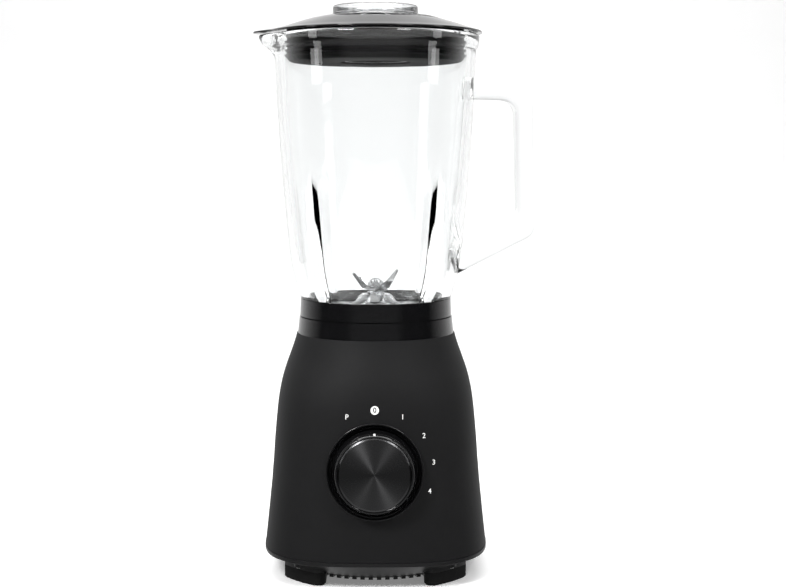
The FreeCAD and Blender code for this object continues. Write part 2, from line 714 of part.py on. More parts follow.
def blade_bushes():
    bore = BLADE_SHAFT_RADIUS + RUNNING_CLEARANCE
    levels = (LOWER_BUSH, UPPER_BUSH)
    return Part.makeCompound([ring(bore, BUSH_RADIUS, level, level + BUSH_LENGTH) for level in levels])


def shaft_seal():
    bore = BLADE_SHAFT_RADIUS + RUNNING_CLEARANCE
    bottom = UPPER_BUSH + BUSH_LENGTH
    return ring(bore, BUSH_RADIUS, bottom, HOLDER_TOP)


# ---- Blades --------------------------------------------------------------------------------


def wing(span, bend, sweep, tip_width, notches=0):
    """One wing of a blade: a flat plan, bent up (or down) from the hub plate along a crease."""
    root = BLADE_WIDTH / 2
    flat = NUT_RADIUS + 2.5
    corners = [
        Vector(flat, -root, 0),
        Vector(span, sweep - tip_width / 2, 0),
        Vector(span, sweep + tip_width / 2, 0),
        Vector(flat, root, 0),
        Vector(flat, -root, 0),
    ]
    plate = Part.Face(Part.makePolygon(corners)).extrude(Vector(0, 0, BLADE_THICKNESS))
    pitch = (span - flat) / (notches + 1)
    for step in range(notches):
        place = flat + pitch * (step + 1)
        edge = root + (sweep + tip_width / 2 - root) * (place - flat) / (span - flat)
        tooth = rod(pitch * 0.36, -1, BLADE_THICKNESS + 1, place, edge + pitch * 0.1)
        plate = plate.cut(tooth)
    plate = spun(plate, -bend, Vector(flat, 0, BLADE_THICKNESS / 2), Vector(0, 1, 0))
    arm = block(flat + 0.4, BLADE_WIDTH, 0, BLADE_THICKNESS, (flat + 0.4) / 2)
    return fused([arm, plate])


def blade(level, turn, wings):
    """A two-wing blade with a round hole for the shaft, at a level and a turn about the axis."""
    bodies = []
    for index, settings in enumerate(wings):
        bodies.append(spun(wing(*settings), 180.0 * index))
    whole = fused(bodies).cut(rod(BLADE_SHAFT_RADIUS, -2, BLADE_THICKNESS + 2))
    return moved(spun(whole, turn), 0, 0, level)


def blade_shaft():
    shaft = rod(BLADE_SHAFT_RADIUS, SOCKET_TOP + SEAT_GAP, SHAFT_TOP)
    groove = ring(BLADE_SHAFT_RADIUS - 0.6, BLADE_SHAFT_RADIUS + 1, CLIP_LEVEL, CLIP_LEVEL + 0.8)
    return shaft.cut(groove)


def blade_washers():
    lower = ring(BLADE_SHAFT_RADIUS, NUT_RADIUS, BLADE_SEAT, BLADE_SEAT + WASHER_THICKNESS)
    upper = ring(BLADE_SHAFT_RADIUS, NUT_RADIUS + 1.2, BLADES_TOP, NUT_BOTTOM)
    return Part.makeCompound([lower, upper])


def blade_nut():
    """A domed hexagon nut on the threaded end of the blade shaft."""
    bottom = NUT_BOTTOM
    corners = []
    for step in range(7):
        angle = math.radians(60.0 * step)
        corners.append(Vector(NUT_RADIUS * math.cos(angle), NUT_RADIUS * math.sin(angle), bottom))
    hexagon = Part.Face(Part.makePolygon(corners)).extrude(Vector(0, 0, NUT_HEIGHT))
    dome_radius = NUT_RADIUS * 1.12
    dome = Part.makeSphere(dome_radius, Vector(0, 0, bottom + NUT_HEIGHT - dome_radius))
    body = hexagon.common(fused([dome, rod(NUT_RADIUS, bottom, bottom + NUT_HEIGHT * 0.4)]))
    return body.cut(rod(BLADE_SHAFT_RADIUS, bottom - 1, SHAFT_TOP))


# ---- Couplings -----------------------------------------------------------------------------


def star(bottom, top, play=0.0):
    """The drive form: a round core with half-round lobes, grown all round by play."""
    lobe_circle = COUPLING_RADIUS - COUPLING_LOBE_RADIUS
    core = rod(lobe_circle + play, bottom, top)
    lobes = around(rod(COUPLING_LOBE_RADIUS + play, bottom, top, lobe_circle), COUPLING_LOBES)
    return fused([core] + lobes)


def drive_coupling():
    body = star(COUPLING_BOTTOM, COUPLING_TOP - 1.0)
    hub = rod(MOTOR_SHAFT_RADIUS + 2.0, COUPLING_BOTTOM - 0.4, COUPLING_TOP - 1.0)
    return fused([body, hub]).cut(rod(MOTOR_SHAFT_RADIUS, COUPLING_BOTTOM - 1, COUPLING_TOP - 3.0))


def driven_coupling():
    body = rod(DRIVEN_RADIUS, DRIVEN_BOTTOM, DRIVEN_TOP)
    socket = star(DRIVEN_BOTTOM - 1, SOCKET_TOP, COUPLING_PLAY)
    return body.cut(socket).cut(rod(BLADE_SHAFT_RADIUS, DRIVEN_BOTTOM - 1, DRIVEN_TOP + 1))


def coupling_clip():
    """The E-clip in the shaft's groove above the driven coupling."""
    clip = ring(BLADE_SHAFT_RADIUS - 0.55, BUSH_RADIUS - 0.6, CLIP_LEVEL + 0.05, CLIP_LEVEL + 0.7)
    gap = block(BUSH_RADIUS * 2, 3.4, CLIP_LEVEL - 1, CLIP_LEVEL + 2, BUSH_RADIUS)
    return clip.cut(gap)


# ---- Glass jug -----------------------------------------------------------------------------

def jug_outer_radius(height):
    share = (height - SHOULDER) / JUG_SIDE_HEIGHT
    step = JUG_TOP_RADIUS - JUG_SHOULDER_RADIUS
    return JUG_SHOULDER_RADIUS + step * value_at(JUG_PROFILE, share, 1)


def jug_side(inset):
    """Points up the jug's side, moved inwards by inset."""
    points = []
    for share, radius_share in JUG_PROFILE:
        height = SHOULDER + share * JUG_SIDE_HEIGHT
        points.append(Vector(jug_outer_radius(height) - inset, 0, height))
    return points


def jug_outer_form():
    """The jug's outside as a full solid: neck, shoulder, flared side and rim bead."""
    side = jug_side(0.0)
    bead_radius = JUG_TOP_RADIUS + RIM_BEAD
    bead_bottom = Vector(bead_radius - 0.4, 0, JUG_SIDE_TOP + 2.4)
    bead_top = Vector(bead_radius, 0, RIM_TOP - 1.6)
    edge_top = Vector(bead_radius - 1.6, 0, RIM_TOP)
    neck_radius = COLLAR_BORE_RADIUS - 0.4
    corner = 1.6 * (1 - math.sqrt(0.5))
    edge_middle = Vector(bead_radius - corner, 0, RIM_TOP - corner)
    axis_top = Vector(0, 0, RIM_TOP)
    axis_bottom = Vector(0, 0, NECK_BOTTOM)
    neck_bottom = Vector(neck_radius, 0, NECK_BOTTOM)
    neck_top = Vector(neck_radius, 0, SHOULDER)
    edges = [
        line_edge(axis_bottom, neck_bottom),
        line_edge(neck_bottom, neck_top),
        line_edge(neck_top, side[0]),
        spline_edge(side),
        line_edge(side[-1], bead_bottom),
        line_edge(bead_bottom, bead_top),
        Part.Arc(bead_top, edge_middle, edge_top).toShape(),
        line_edge(edge_top, axis_top),
        line_edge(axis_top, axis_bottom),
    ]
    return turned_edges(edges)


def jug_inner_form():
    """The jug's cavity as a full solid, open at both ends."""
    side = jug_side(JUG_WALL)
    above = 2.0
    neck_low = Vector(NECK_INNER_RADIUS, 0, NECK_BOTTOM - above)
    neck_high = Vector(NECK_INNER_RADIUS, 0, NECK_BOTTOM + 2.0)
    top_radius = side[-1].x
    rim = Vector(top_radius + 1.6, 0, RIM_TOP - 1.8)
    rim_out = Vector(top_radius + 3.2, 0, RIM_TOP + above)
    axis_top = Vector(0, 0, RIM_TOP + above)
    axis_bottom = Vector(0, 0, NECK_BOTTOM - above)
    edges = [
        line_edge(axis_bottom, neck_low),
        line_edge(neck_low, neck_high),
        line_edge(neck_high, side[0]),
        spline_edge(side),
        line_edge(side[-1], rim),
        line_edge(rim, rim_out),
        line_edge(rim_out, axis_top),
        line_edge(axis_top, axis_bottom),
    ]
    return turned_edges(edges)


def spout_form(shrink, bottom, top):
    """The beak's plan, tapering from the rim to its tip, as a prism with a sloping underside."""
    root = JUG_TOP_RADIUS - JUG_WALL
    tip = SPOUT_REACH - shrink
    rise = 6.0
    corners = [
        Vector(-root, SPOUT_ROOT_HALF_WIDTH - shrink, top),
        Vector(-tip + 1.5, SPOUT_TIP_HALF_WIDTH - shrink / 2, top),
        Vector(-tip, 0, top),
        Vector(-tip + 1.5, -SPOUT_TIP_HALF_WIDTH + shrink / 2, top),
        Vector(-root, -SPOUT_ROOT_HALF_WIDTH + shrink, top),
        Vector(-root, SPOUT_ROOT_HALF_WIDTH - shrink, top),
    ]
    beak = Part.Face(Part.makePolygon(corners)).extrude(Vector(0, 0, bottom - top))
    reach = SPOUT_REACH - root
    slope_low = Vector(-root, 0, bottom)
    slope_high = Vector(-SPOUT_REACH - 1, 0, bottom + rise)
    under = Part.makePolygon([slope_low, slope_high, Vector(-SPOUT_REACH - 1, 0, bottom - 1), slope_low])
    wedge = Part.Face(under).extrude(Vector(0, 4 * reach, 0))
    return beak.cut(moved(wedge, 0, -2 * reach))


def handle():
    """The moulded handle: an outline in the XZ plane, given width and rounded edges."""
    top = RIM_TOP - HANDLE_TOP_DROP
    under = top - HANDLE_UPPER_ARM
    low_root = SHOULDER + HANDLE_LOWER_ROOT_RISE
    low_corner = low_root + HANDLE_LOWER_ARM_DROP
    inner_reach = HANDLE_REACH - HANDLE_GRIP
    root = jug_outer_radius(low_root) - 3.0
    upper_root = jug_outer_radius(top) - 3.0
    arm = 19.0
    outer = [
        (upper_root, top + 0.8, 0),
        (HANDLE_REACH - 2.2, top, 15.0),
        (HANDLE_REACH + 0.2, low_corner + 1.0, 5.5),
        (root, low_root, 0),
    ]
    inner = [
        (root, low_root + arm, 0),
        (inner_reach, low_corner + 10.5, 8.0),
        (inner_reach - 2.2, under, 8.5),
        (upper_root, under + 1.2, 0),
    ]
    bar = Part.Face(rounded_outline(outer + inner)).extrude(Vector(0, HANDLE_WIDTH, 0))
    bar = moved(bar, 0, -HANDLE_WIDTH / 2)
    long_edges = []
    for edge in bar.Edges:
        on_side = abs(abs(edge.CenterOfMass.y) - HANDLE_WIDTH / 2) < 0.01
        free = edge.BoundBox.XMax > max(root, upper_root) + 2.0
        if on_side and free:
            long_edges.append(edge)
    return bar.makeFillet(HANDLE_EDGE, long_edges)


def rib_section(height, width, depth):
    wall = jug_outer_radius(height) - JUG_WALL
    sunk = 2.0
    corners = [
        Vector(wall + sunk, width / 2, height),
        Vector(wall - depth, 0, height),
        Vector(wall + sunk, -width / 2, height),
        Vector(wall + sunk, width / 2, height),
    ]
    return Part.makePolygon(corners)


def ribs():
    """Four wedge-shaped ribs inside the jug, wide at the bottom and running out to a point."""
    top = SHOULDER + RIB_TOP_SHARE * JUG_SIDE_HEIGHT
    knee = SHOULDER + 0.12 * JUG_SIDE_HEIGHT
    foot = SHOULDER + 1.0
    wires = [
        rib_section(foot, RIB_WIDTH, RIB_DEPTH),
        rib_section(knee, RIB_WIDTH * 0.86, RIB_DEPTH),
        rib_section(top, 1.2, 0.2),
    ]
    rib = Part.makeLoft(wires, True, True)
    return around(rib, 4, 45.0)


def glass_jug():
    spout_bottom = RIM_TOP - 11.0
    solid = fused([jug_outer_form(), handle(), spout_form(0.0, spout_bottom, RIM_TOP - 0.6)])
    hollow = solid.cut(jug_inner_form())
    channel = spout_form(SPOUT_WALL, spout_bottom + SPOUT_WALL, RIM_TOP + 1)
    hollow = hollow.cut(channel)
    return fused([hollow] + ribs())


# ---- Lid and measuring cup -----------------------------------------------------------------

def lid_dome(height, radius, hole):
    """The slightly domed disc over the jug, with a thin edge and a hole for the cup."""
    knee = radius * 0.8
    outline = [
        (hole, height + LID_RISE),
        (CUP_HEAD_RADIUS + 1.5, height + LID_RISE),
        (knee, height + LID_RISE * 0.5),
        (radius, height),
        (radius, height - LID_FLANGE_EDGE),
        (knee, height - LID_FLANGE_EDGE),
        (knee - 2.0, height - LID_FLANGE_EDGE + LID_RISE * 0.36),
        (CUP_HEAD_RADIUS + 2.5, height + LID_RISE - LID_WALL),
        (hole, height + LID_RISE - LID_WALL),
    ]
    return turned(outline)


def lid_cover():
    sleeve_hole = CUP_RADIUS + CUP_PLAY
    dome = lid_dome(LID_EDGE_TOP, LID_FLANGE_RADIUS, sleeve_hole)
    root = LID_FLANGE_RADIUS - 6.0
    bottom = LID_EDGE_TOP - LID_FLANGE_EDGE
    corners = [
        Vector(-root, LID_TONGUE_HALF_WIDTH, bottom),
        Vector(-LID_TONGUE_REACH + 3.0, LID_TONGUE_HALF_WIDTH * 0.5, bottom),
        Vector(-LID_TONGUE_REACH, 0, bottom),
        Vector(-LID_TONGUE_REACH + 3.0, -LID_TONGUE_HALF_WIDTH * 0.5, bottom),
        Vector(-root, -LID_TONGUE_HALF_WIDTH, bottom),
        Vector(-root, LID_TONGUE_HALF_WIDTH, bottom),
    ]
    tongue = Part.Face(Part.makePolygon(corners)).extrude(Vector(0, 0, LID_FLANGE_EDGE + 0.5))
    return fused([dome, tongue])


def plug_top():
    """The underside of the lid's flange, where the plug is welded on."""
    return LID_EDGE_TOP - LID_FLANGE_EDGE


def lid_plug():
    sleeve_hole = CUP_RADIUS + CUP_PLAY
    sleeve_top = LID_TOP - LID_WALL
    top = plug_top()
    outline = [
        (sleeve_hole, PLUG_BOTTOM),
        (PLUG_RADIUS - 1.4, PLUG_BOTTOM),
        (PLUG_RADIUS, PLUG_BOTTOM + 2.2),
        (PLUG_RADIUS, top),
        (PLUG_RADIUS - PLUG_WALL, top),
        (PLUG_RADIUS - PLUG_WALL, PLUG_BOTTOM + 2.4),
        (sleeve_hole + SLEEVE_WALL, PLUG_BOTTOM + 2.4),
        (sleeve_hole + SLEEVE_WALL, sleeve_top),
        (sleeve_hole, sleeve_top),
    ]
    return turned(outline)


def lid_seal():
    """A rubber band round the plug with three lips that reach the glass."""
    band = PLUG_RADIUS + 1.0
    bottom = PLUG_BOTTOM + 2.4
    shape = [ring(PLUG_RADIUS, band, bottom, plug_top() - 0.2)]
    for drop in (15.2, 11.6, 5.0):
        level = RIM_TOP - drop
        tip = jug_outer_radius(level) - JUG_WALL - SEAL_CLEARANCE
        outline = [
            (band - 0.5, level - SEAL_LIP),
            (tip, level),
            (tip, level + 0.4),
            (band - 0.5, level + SEAL_LIP),
        ]
        shape.append(turned(outline))
    return fused(shape)


def measuring_cup():
    """The clear cap: a shallow head with a rounded edge on a cup that opens downwards."""
    top = CUP_HEAD_BOTTOM + CUP_HEAD_HEIGHT
    edge = 2.4
    head = rod(CUP_HEAD_RADIUS, CUP_HEAD_BOTTOM, top)
    rim_edges = [each for each in head.Edges if abs(each.BoundBox.ZMin - top) < 0.01]
    head = head.makeFillet(edge, [each for each in rim_edges if each.BoundBox.ZMax - top < 0.01])
    tube = rod(CUP_RADIUS, PLUG_BOTTOM + 1.0, CUP_HEAD_BOTTOM + 1)
    hollow = rod(CUP_RADIUS - CUP_WALL, PLUG_BOTTOM, top - CUP_WALL)
    return fused([head, tube]).cut(hollow)


# ---- Dial ----------------------------------------------------------------------------------

def knob_bezel():
    """The dished gloss ring round the knob, with the pan that carries the switch."""
    dish_inner = BEZEL_BARREL_RADIUS - BEZEL_BARREL_WALL
    outline = [
        (dish_inner, -BEZEL_DEPTH),
        (BEZEL_RADIUS, -BEZEL_DEPTH),
        (BEZEL_RADIUS, BEZEL_PROUD - 0.5),
        (BEZEL_RADIUS - 0.5, BEZEL_PROUD),
        (dish_inner, -0.6),
    ]
    flange = on_front(turned(outline)).cut(shell_form(0.0, SHELL_BOTTOM, BODY_TOP))
    barrel = ring(dish_inner, BEZEL_BARREL_RADIUS, -BEZEL_DEPTH, -0.8)
    pan = rod(BEZEL_BARREL_RADIUS, -BEZEL_DEPTH, -BEZEL_DEPTH + 2.4)
    return fused([flange, on_front(barrel), on_front(pan)]).cut(on_front(bezel_holes()))


def bezel_holes():
    screw_hole = rod(SCREW_RADIUS + HOLE_PLAY / 2, -BEZEL_DEPTH - 1, 0, SWITCH_SIDE / 2 - 4)
    neck_hole = rod(SWITCH_NECK_RADIUS + HOLE_PLAY / 2, -BEZEL_DEPTH - 1, 0)
    return Part.makeCompound([screw_hole, spun(screw_hole, 180), neck_hole])


def rotary_switch():
    body = block(SWITCH_SIDE, SWITCH_SIDE, SWITCH_FRONT - SWITCH_DEPTH, SWITCH_FRONT)
    body = body.makeFillet(2.0, edges_along(body, Vector(0, 0, 1)))
    neck = rod(SWITCH_NECK_RADIUS, SWITCH_FRONT - 1, SWITCH_FRONT + 3.6)
    bore = rod(SWITCH_SHAFT_RADIUS + RUNNING_CLEARANCE, SWITCH_FRONT - SWITCH_DEPTH + 3, SWITCH_FRONT + 5)
    pilot = rod(SCREW_RADIUS, SWITCH_FRONT - 9, SWITCH_FRONT + 1, SWITCH_SIDE / 2 - 4)
    holes = [bore, pilot, spun(pilot, 180)]
    return on_front(fused([body, neck]).cut(holes))


def switch_screws():
    head_seat = SWITCH_FRONT + 2.4
    one = moved(screw(9.5, pointing_up=False), SWITCH_SIDE / 2 - 4, 0, head_seat)
    return on_front(Part.makeCompound([one, spun(one, 180)]))


def switch_terminals():
    back = SWITCH_FRONT - SWITCH_DEPTH
    spacing = (SWITCH_SIDE - 8) / (TERMINALS - 1)
    blades = []
    for step in range(TERMINALS):
        x = -SWITCH_SIDE / 2 + 4 + spacing * step
        blades.append(block(0.8, 4.8, back - 6.5, back, x, 8.0 - 4.0 * (step % 2)))
    return on_front(Part.makeCompound(blades))


def knob():
    """A hollow knob, widest at the wall, with a shallow seat for the metal disc."""
    back = KNOB_GAP
    seat = KNOB_PROUD - DISC_THICKNESS + 0.4
    outline = [
        (DISC_RADIUS + 0.1, seat),
        (DISC_RADIUS + 0.1, KNOB_PROUD - 0.3),
        (KNOB_FRONT_RADIUS - 0.8, KNOB_PROUD),
        (KNOB_FRONT_RADIUS, KNOB_PROUD - 0.9),
        (KNOB_RADIUS - 0.3, 4.2),
        (KNOB_RADIUS, 3.2),
        (KNOB_RADIUS, back),
        (KNOB_RADIUS - KNOB_WALL, back),
        (KNOB_FRONT_RADIUS - KNOB_WALL, seat - KNOB_WALL),
        (0, seat - KNOB_WALL),
        (0, seat),
    ]
    shell = turned(outline)
    hub = rod(KNOB_HUB_RADIUS, KNOB_HUB_BACK, seat - KNOB_WALL + 0.5)
    bore = rod(SWITCH_SHAFT_RADIUS, KNOB_HUB_BACK - 1, KNOB_BORE_TOP)
    body = fused([shell, hub]).cut(bore).cut(knob_pointer_form())
    return on_front(body)


def knob_pointer_form():
    """The painted insert in the knob's front edge that points at the dial marks."""
    inner = DISC_RADIUS + 0.5
    length = KNOB_RADIUS - inner
    form = block(POINTER_WIDTH, length, KNOB_PROUD - 3.2, KNOB_PROUD + 1, 0, inner + length / 2)
    cone_outer = KNOB_FRONT_RADIUS + 0.5
    cone = turned([(0, 0), (KNOB_RADIUS, 0), (cone_outer, KNOB_PROUD - 0.6), (0, KNOB_PROUD + 0.1)])
    return form.common(cone)


def knob_disc():
    disc = rod(DISC_RADIUS, KNOB_PROUD - DISC_THICKNESS + 0.4, KNOB_PROUD + 0.4)
    top_edges = [each for each in disc.Edges if each.BoundBox.ZMin > KNOB_PROUD + 0.3]
    return on_front(disc.makeChamfer(0.7, top_edges))


def switch_shaft():
    shaft = rod(SWITCH_SHAFT_RADIUS, SWITCH_FRONT - SWITCH_DEPTH + 4, KNOB_BORE_TOP)
    return on_front(shaft)


def knob_clip():
    """The spring collar that grips the knob's hub on the shaft."""
    clip = ring(KNOB_HUB_RADIUS, KNOB_HUB_RADIUS + 0.9, KNOB_HUB_BACK + 1.5, KNOB_HUB_BACK + 6.5)
    gap = block(2 * KNOB_HUB_RADIUS, 2.0, KNOB_HUB_BACK, KNOB_HUB_BACK + 8, KNOB_HUB_RADIUS)
    return on_front(clip.cut(gap))


# ---- Motor ---------------------------------------------------------------------------------

def bracket_plate(bottom, with_ears):
    top = bottom + BRACKET_THICKNESS
    plate = block(CORE_WIDTH, CORE_DEPTH, bottom, top)
    plate = plate.makeFillet(CORE_CORNER, edges_along(plate, Vector(0, 0, 1)))
    window_x = CORE_WIDTH / 2 - 2 * BOLT_INSET - BEARING_RADIUS - 6
    window_y = CORE_DEPTH / 2 - BEARING_RADIUS - 8
    windows = at_corners(block(window_x, window_y, bottom - 1, top + 1), window_x / 2 + 9, window_y / 2 + 8)
    plate = plate.cut(windows)
    if not with_ears:
        return plate
    ear_radius = MOTOR_BOSS_RADIUS + 2.0
    bar = block(2 * MOTOR_BOSS_X, 2 * ear_radius, bottom, top, 0, MOTOR_BOSS_Y)
    ears = at_corners(rod(ear_radius, bottom, top), MOTOR_BOSS_X, MOTOR_BOSS_Y)
    rails = [bar, moved(bar, 0, -2 * MOTOR_BOSS_Y)]
    return fused([plate] + rails + ears)


def motor_upper_bracket():
    plate = bracket_plate(UPPER_PLATE_BOTTOM, True)
    holder = rod(BEARING_RADIUS + 2.6, UPPER_BEARING - 1.0, UPPER_PLATE_TOP)
    legs = at_corners(rod(LEG_RADIUS, CORE_TOP, UPPER_PLATE_BOTTOM + 0.5), BOLT_X, BOLT_Y)
    body = fused([plate, holder] + legs)
    holes = at_corners(rod(BOLT_RADIUS, CORE_TOP - 1, UPPER_PLATE_TOP + 1), BOLT_X, BOLT_Y)
    ear_hole = rod(SCREW_RADIUS + HOLE_PLAY, UPPER_PLATE_BOTTOM - 1, UPPER_PLATE_TOP + 1)
    holes += at_corners(ear_hole, MOTOR_BOSS_X, MOTOR_BOSS_Y)
    holes.append(rod(BEARING_RADIUS, UPPER_BEARING, UPPER_BEARING + BEARING_HEIGHT))
    holes.append(rod(BEARING_RADIUS - 3, UPPER_BEARING - 3, UPPER_PLATE_TOP + 1))
    return body.cut(holes)


def motor_lower_bracket():
    plate = bracket_plate(LOWER_PLATE_BOTTOM, False)
    holder = rod(BEARING_RADIUS + 2.6, LOWER_PLATE_BOTTOM, LOWER_BEARING + BEARING_HEIGHT)
    legs = at_corners(rod(LEG_RADIUS, LOWER_PLATE_TOP - 0.5, CORE_BOTTOM), BOLT_X, BOLT_Y)
    body = fused([plate, holder] + legs)
    holes = at_corners(rod(BOLT_RADIUS, LOWER_PLATE_BOTTOM - 1, CORE_BOTTOM + 1), BOLT_X, BOLT_Y)
    body = body.cut(holes)
    body = body.cut(rod(BEARING_RADIUS, LOWER_BEARING, LOWER_BEARING + BEARING_HEIGHT + 1))
    return body.cut(rod(BEARING_RADIUS - 3, LOWER_PLATE_BOTTOM - 1, LOWER_BEARING + 1))


def motor_bearings():
    bore = MOTOR_SHAFT_RADIUS + RUNNING_CLEARANCE
    levels = (UPPER_BEARING, LOWER_BEARING)
    return Part.makeCompound([ring(bore, BEARING_RADIUS, level, level + BEARING_HEIGHT) for level in levels])


def stator_core():
    """Laminated two-pole core: a rim, two pole necks along X and curved pole shoes."""
    frame = block(CORE_WIDTH, CORE_DEPTH, CORE_BOTTOM, CORE_TOP)
    frame = frame.makeFillet(CORE_CORNER, edges_along(frame, Vector(0, 0, 1)))
    window_width = CORE_WIDTH - 2 * CORE_RIM
    window_depth = CORE_DEPTH - 2 * CORE_RIM + 2
    frame = frame.cut(block(window_width, window_depth, CORE_BOTTOM - 1, CORE_TOP + 1))
    bore = ARMATURE_RADIUS + AIR_GAP
    neck = block(CORE_WIDTH - CORE_RIM, 2 * POLE_HALF_WIDTH, CORE_BOTTOM, CORE_TOP)
    shoes = ring(bore, bore + POLE_SHOE, CORE_BOTTOM, CORE_TOP)
    shoes = shoes.cut(block(2 * POLE_HALF_WIDTH, CORE_DEPTH, CORE_BOTTOM - 1, CORE_TOP + 1))
    core = fused([frame, neck, shoes]).cut(rod(bore, CORE_BOTTOM - 1, CORE_TOP + 1))
    holes = at_corners(rod(BOLT_RADIUS, CORE_BOTTOM - 1, CORE_TOP + 1), BOLT_X, BOLT_Y)
    return core.cut(holes)


def field_coils():
    """Two wound coils, one round each pole neck."""
    inner = ARMATURE_RADIUS + AIR_GAP + POLE_SHOE + 0.4
    outer = CORE_WIDTH / 2 - CORE_RIM - 0.4
    thickness = 9.0
    play = 0.4
    width = 2 * (POLE_HALF_WIDTH + play + thickness)
    middle = (inner + outer) / 2
    body = block(outer - inner, width, CORE_BOTTOM - play - thickness, CORE_TOP + play + thickness, middle)
    body = body.makeFillet(6.0, edges_along(body, Vector(1, 0, 0)))
    hole = block(outer, 2 * (POLE_HALF_WIDTH + play), CORE_BOTTOM - play, CORE_TOP + play, middle)
    coil = body.cut(hole)
    return Part.makeCompound([coil, spun(coil, 180)])


def through_bolts():
    bottom = LOWER_PLATE_BOTTOM
    top = UPPER_PLATE_TOP
    shank = rod(BOLT_RADIUS - 0.05, bottom - 1, top + 3)
    head = rod(BOLT_RADIUS + 1.6, bottom - 2.4, bottom)
    nut = rod(BOLT_RADIUS + 1.6, top, top + 2.4)
    return Part.makeCompound(at_corners(fused([head, shank, nut]), BOLT_X, BOLT_Y))


def motor_grommets():
    one = ring(SCREW_RADIUS + HOLE_PLAY, GROMMET_RADIUS, UPPER_PLATE_TOP, BOSS_BOTTOM)
    return Part.makeCompound(at_corners(one, MOTOR_BOSS_X, MOTOR_BOSS_Y))


def motor_screws():
    length = BRACKET_THICKNESS + GROMMET_THICKNESS + MOTOR_BOSS_LENGTH - 8
    screws = at_corners(screw(length), MOTOR_BOSS_X, MOTOR_BOSS_Y)
    return Part.makeCompound([moved(piece, 0, 0, UPPER_PLATE_BOTTOM) for piece in screws])


def motor_shaft():
    return rod(MOTOR_SHAFT_RADIUS, MOTOR_SHAFT_BOTTOM, COUPLING_TOP - 3.0)


def armature_core():
    core = rod(ARMATURE_RADIUS, CORE_BOTTOM, CORE_TOP)
    mouth = block(3.0, 1.8, CORE_BOTTOM - 1, CORE_TOP + 1, ARMATURE_RADIUS)
    pocket = rod(2.6, CORE_BOTTOM - 1, CORE_TOP + 1, ARMATURE_RADIUS - 3.6)
    slots = around(fused([mouth, pocket]), ARMATURE_SLOTS)
    return core.cut(slots).cut(rod(MOTOR_SHAFT_RADIUS, CORE_BOTTOM - 1, CORE_TOP + 1))


def armature_winding():
    """The copper in the slots and the rounded end turns above and below the core."""
    bore = MOTOR_SHAFT_RADIUS + 1.5
    rim = ARMATURE_RADIUS - 1.6
    turns = []
    for bottom, top in ((CORE_BOTTOM - 8.0, CORE_BOTTOM), (CORE_TOP, CORE_TOP + 9.0)):
        body = ring(bore, rim, bottom, top)
        far = bottom if top == CORE_BOTTOM else top
        flat = [each for each in body.Edges if each.BoundBox.ZLength < 0.01]
        edges = [each for each in flat if abs(each.BoundBox.ZMin - far) < 0.01]
        turns.append(body.makeFillet(3.0, edges))
    bars = around(rod(2.5, CORE_BOTTOM - 1, CORE_TOP + 1, ARMATURE_RADIUS - 3.6), ARMATURE_SLOTS)
    return fused(turns + bars)


def commutator():
    body = ring(MOTOR_SHAFT_RADIUS, COMMUTATOR_RADIUS, COMMUTATOR_BOTTOM, COMMUTATOR_TOP)
    riser = ring(MOTOR_SHAFT_RADIUS, COMMUTATOR_RADIUS + 1.6, COMMUTATOR_TOP - COMMUTATOR_RISER, COMMUTATOR_TOP)
    groove = block(1.6, 0.6, COMMUTATOR_BOTTOM - 1, COMMUTATOR_TOP - COMMUTATOR_RISER, COMMUTATOR_RADIUS)
    return fused([body, riser]).cut(around(groove, COMMUTATOR_BARS))


def cooling_fan():
    hub = ring(MOTOR_SHAFT_RADIUS, 9.0, FAN_BOTTOM, FAN_TOP)
    back = ring(MOTOR_SHAFT_RADIUS, FAN_RADIUS, FAN_TOP - 1.6, FAN_TOP)
    vane = block(FAN_RADIUS - 8.6, 1.4, FAN_BOTTOM, FAN_TOP - 1, (FAN_RADIUS + 7.6) / 2)
    vane = spun(vane, 24.0, Vector(8.0, 0, 0))
    vane = vane.common(rod(FAN_RADIUS - 0.2, FAN_BOTTOM, FAN_TOP))
    return fused([hub, back] + around(vane, FAN_BLADES))


def brush_holders():
    """Two insulated brass-lined boxes that stand on the lower bracket and guide the brushes."""
    start = COMMUTATOR_RADIUS + 4.0
    length = BRUSH_LENGTH + 3.0
    middle = start + length / 2
    channel = BRUSH_SIDE + 2 * HOLE_PLAY
    top = BRUSH_LEVEL + channel / 2 + 2.2
    box = block(channel + 5, length, LOWER_PLATE_TOP, top, 0, middle)
    bottom = BRUSH_LEVEL - channel / 2
    hole = block(channel, length + 2, bottom, BRUSH_LEVEL + channel / 2, 0, middle + 1 - BRUSH_REAR_WALL)
    holder = box.cut(hole)
    return Part.makeCompound([holder, spun(holder, 180)])


def carbon_brushes():
    bar = block(BRUSH_SIDE, BRUSH_LENGTH, BRUSH_LEVEL - BRUSH_SIDE / 2, BRUSH_LEVEL + BRUSH_SIDE / 2,
                0, COMMUTATOR_RADIUS - 1 + BRUSH_LENGTH / 2)
    brush = bar.cut(rod(BRUSH_FRONT, BRUSH_LEVEL - BRUSH_SIDE, BRUSH_LEVEL + BRUSH_SIDE))
    return Part.makeCompound([brush, spun(brush, 180)])


# ---- Interlock and cord inlet --------------------------------------------------------------


def interlock_switch():
    """The switch body under the top plate, hollow for the pin's flange and spring."""
    width, depth, height = INTERLOCK_BODY
    body = block(width, depth, PLATE_UNDER - height, PLATE_UNDER, 0, PIN_CIRCLE - 0.6)
    chamber_top = PLATE_UNDER - INTERLOCK_WALL
    chamber = rod(3.8, INTERLOCK_FLOOR, chamber_top, 0, PIN_CIRCLE)
    guide = rod(INTERLOCK_PIN_RADIUS + RUNNING_CLEARANCE, chamber_top - 1, PLATE_UNDER + 1, 0, PIN_CIRCLE)
    return body.cut(chamber).cut(guide)


